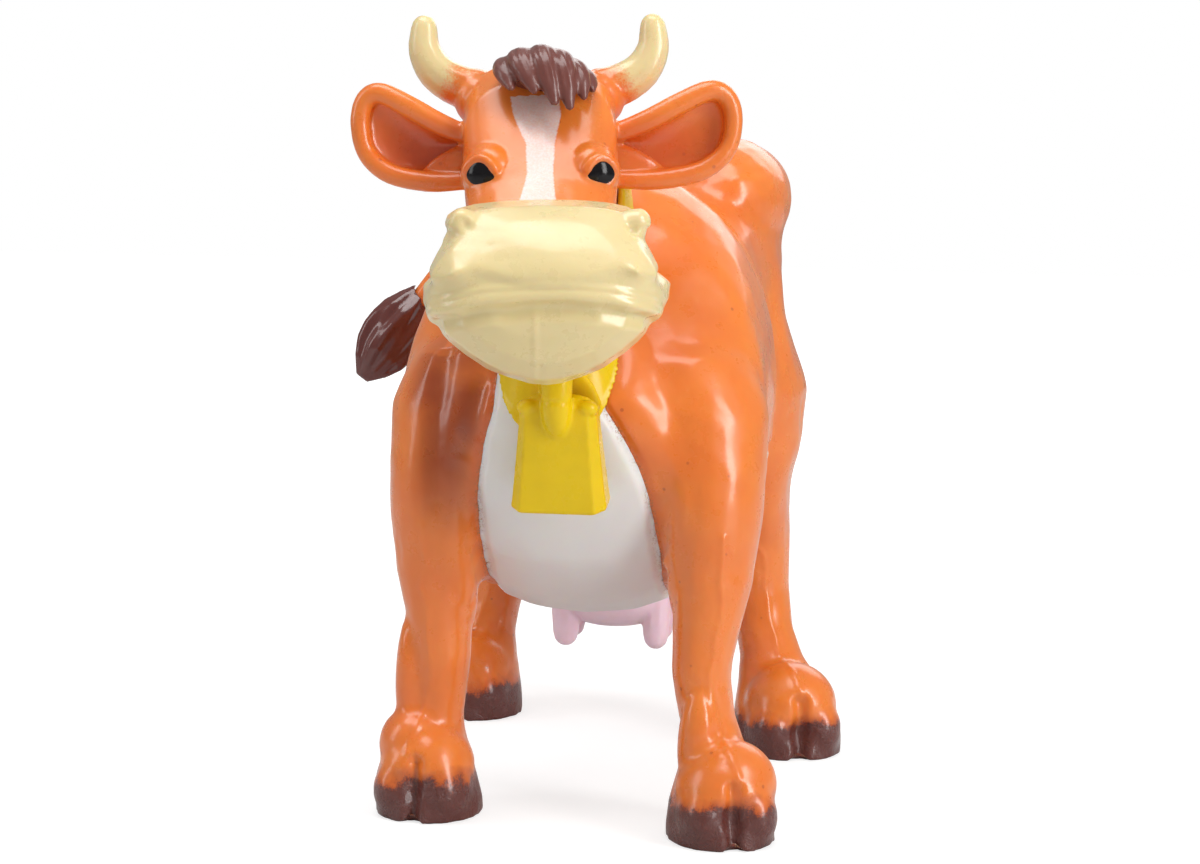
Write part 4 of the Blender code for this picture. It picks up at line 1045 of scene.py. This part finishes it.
def sculpted_body(points, faces, neighbours, bib, places):
    trunk = trunk_place()
    normals = soft_normals(points, faces, neighbours, 6)
    for aside, ahead, up, radius, swell in BODY_FORMS:
        for side in (1, -1):
            spot = trunk.at((side * aside, ahead, up))
            points = pushed(points, normals, spot, radius * MM, swell * MM)
    for aside, ahead, up, radius, swell in FLANK_FORMS:
        points = pushed(points, normals, trunk.at((aside, ahead, up)), radius * MM, swell * MM)
    for path in FOLDS:
        radius, depth = FOLD_STROKE
        path = laid_on(points, faces, trunk.at(curve(path, 24)))
        points = stroked(points, normals, path, radius * MM, depth * MM)
    normals = soft_normals(points, faces, neighbours, 4)
    radius, depth = BIB_GROOVE
    groove = -depth * falloff(bib / MM, radius)
    reach, width, height = BIB_BANK
    bank = height * falloff(bib / MM + reach, width)
    chest = np.clip((trunk.of(points)[:, 1] - 6) / 8, 0, 1)
    points = points + normals * ((groove + bank * chest) * MM)[:, None]
    for place, scale in places.values():
        normals = soft_normals(points, faces, neighbours, 3)
        radius, depth = CLEFT_STROKE
        path = laid_on(points, faces, place.at(curve(np.array(CLEFT) * scale, 24)))
        points = stroked(points, normals, path, radius * scale * MM, depth * scale * MM, False)
        for side in (1, -1):
            spot, radius, swell = KNUCKLE
            spot = place.at(mirrored(spot, side) * scale)
            points = pushed(points, normals, spot, radius * scale * MM, swell * MM)
    return points


def mould_distance(points, places):
    """Millimetres from the moulding line down the front of each leg."""
    line = np.full(len(points), 9.0)
    for name, (place, _) in places.items():
        node_points, _ = node_arrays(name)
        local, leg = place.of(points), place.of(node_points)
        heights = np.arange(0, 34, 2.0)
        aside, ahead = [], []
        for height in heights:
            near = leg[np.abs(leg[:, 2] - height) < 2.5]
            aside.append((near[:, 0].min() + near[:, 0].max()) / 2)
            ahead.append((near[:, 1].min() + near[:, 1].max()) / 2)
        off = local[:, 0] - np.interp(local[:, 2], heights, aside)
        front = local[:, 1] > np.interp(local[:, 2], heights, ahead)
        here = front & (local[:, 2] < 33) & (np.abs(off) < 4) & (np.abs(local[:, 1]) < 16)
        line = np.where(here, np.minimum(line, np.abs(off)), line)
    return line


def body_skin(material):
    """Trunk, legs and tail as one skin below the collar, with the bib let into it."""
    rest = ["torso", "tail"] + LEG_NODES
    names = rest + ["belly_insert"]
    places = foot_places()
    extra = [clipped(form, GAP_CLOSING) for form in foot_forms(places)]
    points, faces, neighbours = skin_over(names, BODY_VOXEL, extra=extra)
    points = smoothed(points, neighbours, BODY_SMOOTHING, keep_volume=True)
    bib = distance_to(plain_mesh(rest), points) - distance_to(plain_mesh(["belly_insert"]), points)
    bib = smoothed(bib, neighbours, BODY_SMOOTHING // 2)
    trunk = trunk_place()
    spot, radius, widening = BIB_TOP
    reach = np.linalg.norm(points - trunk.at(spot), axis=1)
    bib = bib + widening * MM * falloff(reach, radius * MM)
    points = narrowed_neck(sculpted_body(points, faces, neighbours, bib, places))
    # Painted shade: a dark red band along each shoulder fold, fading towards its ends
    fold = np.zeros(len(points))
    for path in FOLDS:
        path = laid_on(points, faces, trunk.at(curve(path, 24)))
        distance, along = path_distance(points, path)
        ends = np.clip(np.minimum(along, 1 - along) * 3, 0, 1)
        fold = np.maximum(fold, ends * falloff(distance, FOLD_SHADE))
    mould = mould_distance(points, places)
    radius, height = MOULD_LINE
    normals = soft_normals(points, faces, neighbours, 2)
    ridge = height * falloff(mould, radius) * np.clip((points[:, 2] / MM - 3) / 3, 0, 1)
    points = boxed(points + normals * (ridge * MM)[:, None])
    centre, headwards = collar_plane()
    below = (points - centre) @ headwards
    blend, bib_faces, rest_faces = cut_along(points, faces, bib)
    points, below, bib, fold = (blend(value) for value in (points, below, bib, fold))
    *mesh, edge = plate(points, bib_faces, BIB_THICKNESS, bib / MM)
    white = bib_vinyl("white_vinyl")
    add_piece("breast_and_belly", mesh, white, ["belly_insert"], {"seam": edge})
    points, rest_faces, below, bib, fold = compact(points, rest_faces, below, bib, fold)
    blend, _, body_faces = cut_along(points, rest_faces, below)
    values = (blend(bib) / MM, blend(fold))
    *mesh, edge, fold = capped(blend(points), body_faces, *values)
    values = {"seam": edge, "fold": fold}
    add_piece("body_skin", mesh, material, rest, values)


def pushed(points, normals, centre, radius, amount):
    """Swells the skin round one spot, or dents it where the amount is negative."""
    distance = np.linalg.norm(points - centre, axis=1)
    return points + normals * (amount * falloff(distance, radius))[:, None]


def stroked(points, normals, path, radius, amount, fade=True):
    """Draws a ridge along a path, or a groove where the amount is negative."""
    distance, along = path_distance(points, path)
    strength = amount * falloff(distance, radius)
    if fade:
        strength = strength * np.clip(np.minimum(along, 1 - along) * 6, 0, 1)
    return points + normals * strength[:, None]


# Muzzle in millimetres in the head's frame
MUZZLE_GROWTH = 0.14 * MM
MUZZLE_MIDDLE = (0.27, 0.42)
MUZZLE_SIDES = [
    (-21.2, 0.55),
    (-20.8, 0.64),
    (-19.6, 0.85),
    (-18.4, 0.90),
    (-17.2, 0.96),
    (-16.0, 1.01),
    (-14.8, 1.09),
    (-13.7, 1.13),
    (-12.6, 1.15),
    (-11.3, 1.11),
    (-10.0, 1.02),
    (-8.8, 0.94),
    (-7.9, 0.89),
    (-6.8, 0.85),
    (-5.6, 0.86),
    (-4.4, 0.97),
    (-3.1, 1.12),
]
MOUTH_LINE = [
    (-11.9, 10.5, -14.9),
    (-10.9, 15.0, -13.1),
    (-8.6, 18.2, -11.9),
    (-5.5, 20.3, -11.1),
    (0.0, 21.2, -10.9),
    (5.8, 20.6, -11.1),
    (9.0, 18.4, -12.0),
    (11.5, 15.0, -13.3),
    (12.5, 10.5, -15.2),
]
CORNER_FORM = ((8.9, 10.2, -12.0), (2.6, 6.0, 3.4))
INNER_FORM = ((0.2, 9.5, -9.5), (9.2, 8.0, 3.6))
# Middle, aside and up, and half sizes of the front that is drawn even, and its edge
FRONT_EASE = ((0.27, -7.2), (10.6, 4.0), 0.25)
# Half breadth of the band drawn even along the lips, and its edge
LIP_EASE = (2.3, 0.7)
EASE_STEPS = 500
EASE_FULL = 0.35
# Place, radius and height: a nub and the dent beside it on either side
NUBS = [
    ((9.8, 14.6, -4.7), 2.0, 1.3),
    ((-8.6, 16.6, -3.7), 2.0, 1.3),
    ((8.7, 16.0, -5.8), 1.0, -0.4),
    ((-7.5, 17.4, -4.8), 1.0, -0.4),
]
CHIN_LINE = [(-0.8, 21.0, -12.2), (-0.8, 20.0, -15.0), (-0.8, 17.5, -18.0), (-0.8, 13.0, -20.6)]
# How far over the mouth's line each stroke lies, its radius and its height
LIP_STROKES = [(1.2, 1.8, 0.10), (0.1, 0.5, 0.15), (-1.0, 1.4, 0.36), (-2.4, 1.3, -0.80)]
LIP_GROOVE = -2.4


def muzzle_ease(local):
    """Where the muzzle's front and the parting of its lips are drawn even, from 0 to 1."""
    (aside, up), (wide, high), edge = FRONT_EASE
    reach = np.hypot((local[:, 0] - aside) / wide, (local[:, 2] - up) / high)
    front = np.clip((1 - reach) / edge, 0, 1) * np.clip(local[:, 1] - 9, 0, 1)
    line = curve(MOUTH_LINE, 60)
    off = np.abs(local[:, 2] - np.interp(local[:, 0], line[:, 0], line[:, 2]))
    lips = np.clip((LIP_EASE[0] - off) / LIP_EASE[1], 0, 1) * np.clip((local[:, 1] - 4) / 2, 0, 1)
    return front, lips


def muzzle_skin(material):
    """Muzzle and jaw with closed lips, nostrils and a moulding line on the chin."""
    head = head_place()
    parts = [grown(name, MUZZLE_GROWTH) for name in ("muzzle", "lower_jaw")]
    spot, radii = CORNER_FORM
    for side in (1, -1):
        parts.append(head.bead(mirrored(spot, side) + (MUZZLE_MIDDLE[0], 0, 0), radii))
    # fills the parting of the lips from inside
    parts.append(head.bead(*INNER_FORM))
    points, faces, neighbours = fused(parts, DETAIL_VOXEL, 16)
    front, lips = muzzle_ease(head.of(points))
    points = smoothed(points, neighbours, EASE_STEPS, share=np.maximum(front, lips))
    points = points + (EASE_FULL * MM * front)[:, None] * head.axes[1]
    points = smoothed(points, neighbours, 16, keep_volume=True)
    local = head.of(points)
    heights, shares = zip(*MUZZLE_SIDES)
    sides = np.interp(local[:, 2], heights, shares)
    local[:, 0] = MUZZLE_MIDDLE[1] + (local[:, 0] - MUZZLE_MIDDLE[0]) * sides
    points = smoothed(head.at(local), neighbours, 10, keep_volume=True)
    line = laid_on(points, faces, head.at(curve(MOUTH_LINE, 60)))
    for over, radius, height in LIP_STROKES:
        normals = soft_normals(points, faces, neighbours, 3)
        path = laid_on(points, faces, line + head.axes[2] * over * MM)
        points = stroked(points, normals, path, radius * MM, height * MM)
    chin = laid_on(points, faces, head.at(curve(CHIN_LINE, 24)))
    normals = soft_normals(points, faces, neighbours, 3)
    points = stroked(points, normals, chin, 0.5 * MM, 0.09 * MM)
    for spot, radius, height in NUBS:
        place = laid_on(points, faces, [head.at(spot)])[0]
        points = pushed(points, normals, place, radius * MM, height * MM)
        normals = soft_normals(points, faces, neighbours, 3)
    points = boxed(smoothed(points, neighbours, 2, keep_volume=True))
    # The distance from the groove under the upper lip carries the painted shade in it
    groove = laid_on(points, faces, line + head.axes[2] * LIP_GROOVE * MM)
    values = {"mouth": path_distance(points, groove)[0] / MM}
    nodes = ["muzzle", "lower_jaw"]
    add_piece("muzzle_skin", (points, faces), material, nodes, values)


COLLAR_BREADTH = (3.2, 3.0)
COLLAR_THICKNESS = 1.15 * MM
COLLAR_GAP = 0.35 * MM
COLLAR_STEPS = 144
COLLAR_SHIFT = 0.9
COLLAR_POINT = 3.0
COLLAR_SPREAD = math.radians(56)
COLLAR_VOXEL = 0.22 * MM
FAR_OUT = 40 * MM
# The part of the collar that stands off the throat to carry the bell
TONGUE = [(5.1, -23.9, 47.4), (4.8, -26.0, 49.3), (4.5, -28.3, 50.8), (4.45, -29.9, 51.2)]
TONGUE_HALF_WIDTHS = [3.4, 3.1, 2.5, 1.9]
TONGUE_FLATNESS = 0.28
COLLAR_REACHES = (-6.0, -4.5, -3.0, -1.5, 0.0, 1.5, 3.0)


def collar_band(material):
    """A soft-edged band that follows the neck and runs to a point at the throat."""
    centre, headwards = collar_plane()
    neck = tree_of(*plain_mesh(["torso", "belly_insert"]))
    ahead = unit(np.cross((1, 0, 0), headwards))
    ahead = -ahead if ahead[1] > 0 else ahead
    aside = np.cross(ahead, headwards)
    turns = np.linspace(0, 2 * math.pi, COLLAR_STEPS, endpoint=False)
    ways = np.cos(turns)[:, None] * ahead + np.sin(turns)[:, None] * aside
    reach = []
    for way in ways:
        start = centre + way * FAR_OUT
        row = []
        for shift in COLLAR_REACHES:
            hit = neck.ray_cast(Vector(start + headwards * shift * MM), Vector(-way))
            row.append(FAR_OUT - hit[3] if hit[3] is not None else row[-1])
        reach.append(row)
    reach = np.array(reach)
    for _ in range(8):
        reach = (np.roll(reach, 1, axis=0) + 2 * reach + np.roll(reach, -1, axis=0)) / 4
    rings = []
    profile = rounded_profile(0.5, COLLAR_THICKNESS / 2, 0.36 * MM)
    for i, way in enumerate(ways):
        forward = (1 + math.cos(turns[i])) / 2
        breadth = COLLAR_BREADTH[0] + forward ** 3 * (COLLAR_BREADTH[1] - COLLAR_BREADTH[0])
        turn = min(turns[i], 2 * math.pi - turns[i])
        point = COLLAR_POINT * max(0.0, 1 - turn / COLLAR_SPREAD)
        ring = []
        for b, t in profile:
            shift = COLLAR_SHIFT + b * breadth - (0.5 - b) * point
            out = np.interp(shift, COLLAR_REACHES, reach[i]) + COLLAR_GAP
            out += COLLAR_THICKNESS / 2 + t
            ring.append(centre + headwards * shift * MM + way * out)
        rings.append(ring)
    points, quads = hoop(np.array(rings))
    points = narrowed_neck(points)
    tongue = tube(curve(np.array(TONGUE) * MM, 24), np.array(TONGUE_HALF_WIDTHS) * MM, TONGUE_FLATNESS)
    mesh = fused([(points, triangles_of(points, quads)), tongue], COLLAR_VOXEL, 18)[:2]
    add_piece("collar_band", mesh, material, ["collar"])


def rounded_profile(half_breadth, half_thickness, corner):
    """The section of a band: its breadth as a share, its thickness in metres."""
    rows = []
    for sign_b, sign_t, start in ((1, 1, 0), (-1, 1, 90), (-1, -1, 180), (1, -1, 270)):
        for angle in np.radians([start, start + 30, start + 60, start + 90]):
            share = corner / (5 * MM)
            b = sign_b * (half_breadth - share) + share * math.cos(angle)
            t = sign_t * (half_thickness - corner) + corner * math.sin(angle)
            rows.append((b, t))
    return rows


def hoop(rings):
    """A closed skin over rings that follow one another round a loop."""
    count, sides, _ = rings.shape
    around = np.arange(sides)
    after = (around + 1) % sides
    faces = []
    for i in range(count):
        low, high = i * sides, (i + 1) % count * sides
        faces.append(np.stack([low + around, low + after, high + after, high + around], axis=1))
    return rings.reshape(-1, 3), np.concatenate(faces)


# Bell in shares of its own height and half sizes, from mouth to crown
BELL_HEIGHT = 11.6 * MM
BELL_SECTIONS = [
    (-0.500, 0.90, 0.88),
    (-0.494, 0.985, 0.97),
    (-0.470, 1.02, 1.00),
    (-0.440, 1.00, 0.97),
    (-0.30, 0.965, 0.92),
    (0.00, 0.895, 0.80),
    (0.30, 0.83, 0.68),
    (0.41, 0.80, 0.61),
    (0.480, 0.73, 0.54),
    (0.530, 0.58, 0.42),
    (0.560, 0.36, 0.28),
]


def bell_skin(material):
    """A cowbell with bevelled sides and a rib that hooks over the collar."""
    low, high = (np.array(corner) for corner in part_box("bell"))
    width = (high[0] - low[0]) / 2
    depth = 2.9 * MM
    tilt = math.radians(12)
    rise = np.array((0, math.sin(tilt) * -1, math.cos(tilt)))
    ahead = np.array((0, -math.cos(tilt), -math.sin(tilt)))
    foot = np.array(((low[0] + high[0]) / 2, low[1] + depth * 1.02 + 2.4 * MM, low[2] + 0.9 * MM))
    centre = foot + np.array((0, -0.6 * MM, 0)) + rise * BELL_HEIGHT / 2
    outline = bell_outline()
    rings = []
    for share, wide, deep in BELL_SECTIONS:
        spot = centre + rise * share * BELL_HEIGHT
        rings.append(
            [spot + np.array((1, 0, 0)) * x * wide * width + ahead * y * deep * depth for x, y in outline]
        )
    parts = [loft(rings)]
    top = centre + rise * BELL_HEIGHT * 0.5
    hook = [
        top + rise * 3.6 * MM + ahead * 0.6 * MM,
        top + rise * 1.8 * MM + ahead * 1.2 * MM,
        top + rise * 0.2 * MM + ahead * 1.6 * MM,
        top - rise * 1.4 * MM + ahead * 1.6 * MM,
        top - rise * 3.2 * MM + ahead * 0.9 * MM,
    ]
    parts.append(tube(curve(hook, 18), [1.7 * MM, 1.65 * MM, 1.6 * MM, 1.5 * MM, 1.2 * MM]))
    for side in (1, -1):
        spot = top - rise * 0.35 * MM + np.array((side * width * 0.62, 0, 0)) + ahead * 0.9 * MM
        parts.append(bead(spot, np.array((1.2, 1.0, 0.9)) * MM))
    mesh = fused(parts, BELL_VOXEL, 6)[:2]
    add_piece("bell_skin", mesh, material, ["bell"])


def bell_outline(steps=5):
    """A square with broad bevels on its corners ahead and small ones behind."""
    corners = [(-1, 0.42), (-0.80, 1), (0.80, 1), (1, 0.42), (1, -0.8), (0.8, -1), (-0.8, -1), (-1, -0.8)]
    rows = []
    for i, corner in enumerate(corners):
        after = corners[(i + 1) % len(corners)]
        for step in range(steps):
            share = step / steps
            rows.append([c + share * (a - c) for c, a in zip(corner, after)])
    return rows


# Locks in millimetres in the head's frame: start, bend and tip, with their radii
LOCKS = [
    ((-2.4, -5.6, 11.0), (-3.5, -2.4, 10.9), (-3.0, 0.2, 8.9), 1.55, 1.05),
    ((-1.4, -5.6, 11.7), (-1.8, -1.2, 11.6), (-0.6, 1.3, 8.6), 1.7, 1.1),
    ((-0.2, -5.8, 12.0), (0.4, -0.8, 11.7), (1.5, 1.7, 7.4), 1.75, 1.15),
    ((1.0, -5.8, 11.9), (2.2, -0.8, 11.2), (3.1, 1.5, 6.9), 1.65, 1.1),
    ((1.8, -5.8, 11.5), (3.8, -1.6, 10.4), (4.6, 0.5, 7.9), 1.5, 1.0),
    ((2.4, -6.2, 10.9), (4.8, -3.4, 9.9), (5.6, -1.4, 8.6), 1.2, 0.8),
]
POLL_FORM = ((0.2, -4.6, 10.4), (3.6, 3.2, 2.0))
ORANGE_LOCK = ((-4.4, -0.4, 8.6), (-2.7, 1.9, 7.2), (1.0, 2.6, 5.6), 1.5, 0.7)


def forelock_skin(material):
    """Locks of hair that sweep from the poll over the forehead, a groove along each."""
    head = head_place()
    parts = [head.bead(*POLL_FORM)]
    paths = []
    for start, bend, tip, thick, thin in LOCKS:
        path = curve([start, bend, tip], 22)
        paths.append(path)
        radii = np.array([0.8 * thick, thick, thick, 0.9 * thick, thin, 0.45 * thin]) * MM
        parts.append(tube(head.at(path), radii, 0.8, up=head.way(0, 1, 1)))
    points, faces, neighbours = fused(parts, HAIR_VOXEL, 6)
    for path in paths:
        normals = point_normals(points, faces)
        for aside in (-0.75, 0.0, 0.75):
            line = path + np.array((aside, 0.8, 0.9))
            points = stroked(points, normals, head.at(line), 0.5 * MM, -0.16 * MM)
    points = smoothed(points, neighbours, 1)
    add_piece("forelock_skin", (points, faces), material, ["forelock"])


def tuft_skin(material):
    """The hair at the tail's end, with strands drawn along it."""
    points, faces, neighbours = skin_over(["tail_tuft"], DETAIL_VOXEL, SMALL_GAP_CLOSING)
    points = smoothed(points, neighbours, 10, keep_volume=True)
    centre = points.mean(axis=0)
    _, _, axes = np.linalg.svd(points - centre, full_matrices=False)
    along = axes[0] if axes[0][2] > 0 else -axes[0]
    around = np.arctan2((points - centre) @ axes[2], (points - centre) @ axes[1])
    height = (points - centre) @ along / MM
    wave = np.sin(7 * around + 0.22 * height + 0.8 * np.sin(0.5 * height))
    wave += 0.5 * np.sin(13 * around - 0.31 * height)
    normals = point_normals(points, faces)
    ends = np.clip((7.2 - np.abs(height)) / 3.0, 0, 1)
    points = points + normals * (0.16 * MM * ends * (wave - 0.6))[:, None]
    points = smoothed(points, neighbours, 2)
    add_piece("tuft_skin", (points, faces), material, ["tail_tuft"])


UDDER_LIFT = 7.0 * MM
UDDER_FULL = (0.94, 0.94, 0.62)
TEAT_RADIUS = 1.75 * MM
TEAT_LIFT = 2.2 * MM
TEAT_PLACE = (0.60, 0.42)


def udder_skin(material):
    """A full udder with four short teats."""
    low, high = (np.array(corner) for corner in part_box("udder"))
    centre, half = (low + high) / 2, (high - low) / 2
    forms = [bead((centre[0], centre[1], low[2] + UDDER_LIFT), half * UDDER_FULL)]
    teat = np.array(TEAT_PLACE + (0,))
    for side in (-1, 1):
        for end in (-1, 1):
            spot = centre * (1, 1, 0) + half * teat * (side, end, 0)
            forms.append(bead(spot + (0, 0, low[2] + TEAT_LIFT), (TEAT_RADIUS,) * 3))
    points, faces, neighbours = skin_over(["udder"], DETAIL_VOXEL, SMALL_GAP_CLOSING, forms)
    mesh = (smoothed(points, neighbours, 10, keep_volume=True), faces)
    add_piece("udder_skin", mesh, material, ["udder"])


def small_pieces():
    yellow = plain_vinyl("yellow_vinyl", YELLOW, 0.12, 0.28, 0.15)
    yellow.set(Specular_IOR_Level=0.25)
    pink = plain_vinyl("pink_vinyl", PINK, 0.3, 0.34)
    brown = plain_vinyl("brown_vinyl", HAIR_BROWN, 0.1, 0.34, 0.3)
    tuft = plain_vinyl("tuft_vinyl", TUFT, 0.1, 0.18, 0.5)
    black = plain_vinyl("black_gloss", BLACK, 0.0, 0.08, 0.0)
    black.set(IOR=1.36)
    muzzle_skin(muzzle_vinyl("cream_vinyl"))
    collar_band(yellow)
    bell_skin(yellow)
    forelock_skin(brown)
    tuft_skin(tuft)
    udder_skin(pink)
    head = head_place()
    for side in (1, -1):
        eye_bead(head, side, black)


# Stage

def make_stage():
    """A pale floor that the camera sees as white but for the soft shadow on it."""
    span = 1.6
    corners = np.array([[-span, -span, 0], [span, -span, 0], [span, span, 0], [-span, span, 0]])
    floor = mesh_object("floor", corners, np.array([[0, 1, 2, 3]]))
    shader = Shader("pale_floor")
    shader.set(Base_Color=colour(0.68, 0.68, 0.68), Roughness=0.9)
    flat = shader.node("VectorMath", "Value", {0: shader.place}, operation="LENGTH")
    glow = shader.ramp(flat, 0.10, 0.35, 0.70, 1.0)
    light = shader.node("Emission", 0, {"Color": colour(1.0, 1.0, 1.0), "Strength": glow})
    lit = shader.node("BsdfDiffuse", 0, {"Color": colour(0.42, 0.42, 0.42)})
    seen = shader.node("AddShader", 0, {0: light, 1: lit})
    tree = shader.tree
    output = tree.nodes["Material Output"].inputs["Surface"]
    mixed = shader.node(
        "MixShader", 0, {"Fac": direct_rays(tree), 1: shader.base.outputs[0], 2: seen}
    )
    tree.links.new(mixed, output)
    floor.data.materials.append(shader.material)
    world = bpy.data.worlds.new("studio")
    world.use_nodes = True
    bpy.context.scene.world = world
    nodes, links = world.node_tree.nodes, world.node_tree.links
    background = nodes["Background"]
    background.inputs["Color"].default_value = colour(1.0, 1.0, 1.0)
    background.inputs["Strength"].default_value = WORLD_FILL
    white = nodes.new("ShaderNodeBackground")
    white.inputs["Color"].default_value = colour(1.0, 1.0, 1.0)
    white.inputs["Strength"].default_value = 1.0
    mix = nodes.new("ShaderNodeMixShader")
    links.new(direct_rays(world.node_tree), mix.inputs["Fac"])
    links.new(background.outputs[0], mix.inputs[1])
    links.new(white.outputs[0], mix.inputs[2])
    links.new(mix.outputs[0], nodes["World Output"].inputs["Surface"])


def direct_rays(tree):
    """The share of rays that come straight from the camera."""
    return tree.nodes.new("ShaderNodeLightPath").outputs["Is Camera Ray"]


def soft_box(name, place, target, size, power):
    light = bpy.data.lights.new(name, "AREA")
    light.shape = "RECTANGLE"
    light.size, light.size_y = size
    light.energy = power
    lamp = bpy.data.objects.new(name, light)
    lamp.location = place
    lamp.rotation_euler = (Vector(target) - Vector(place)).to_track_quat("-Z", "Y").to_euler()
    bpy.context.scene.collection.objects.link(lamp)


WORLD_FILL = 0.32
SOFT_BOXES = {
    "left_box": ((-0.46, -0.16, 0.26), (0.14, 0.40), 0.55),
    "right_box": ((0.46, -0.28, 0.26), (0.16, 0.44), 2.00),
    "top_box": ((-0.04, -0.08, 0.52), (0.42, 0.26), 1.50),
    "back_box": ((0.10, 0.50, 0.34), (0.50, 0.30), 0.80),
}


def make_lights():
    for name, (place, size, power) in SOFT_BOXES.items():
        soft_box(name, place, (0.0, 0.0, 0.045), size, power)


def make_camera():
    data = bpy.data.cameras.new("camera")
    data.lens = 75
    data.sensor_width = 36
    data.clip_start = 0.001
    camera = bpy.data.objects.new("camera", data)
    turn = (
        Matrix.Rotation(math.radians(7.3), 4, "Z")
        @ Matrix.Rotation(math.radians(90 - 5.98), 4, "X")
        @ Matrix.Rotation(math.radians(1.0), 4, "Z")
    )
    camera.matrix_world = Matrix.Translation((0.04204, -0.28753, 0.072)) @ turn
    bpy.context.scene.collection.objects.link(camera)
    bpy.context.scene.camera = camera


body_skin(orange_vinyl("orange_vinyl"))
head_skin(head_vinyl("head_vinyl"))
small_pieces()
make_stage()
make_lights()
make_camera()
bpy.context.scene.view_settings.view_transform = "Standard"

bpy.context.view_layer.update()
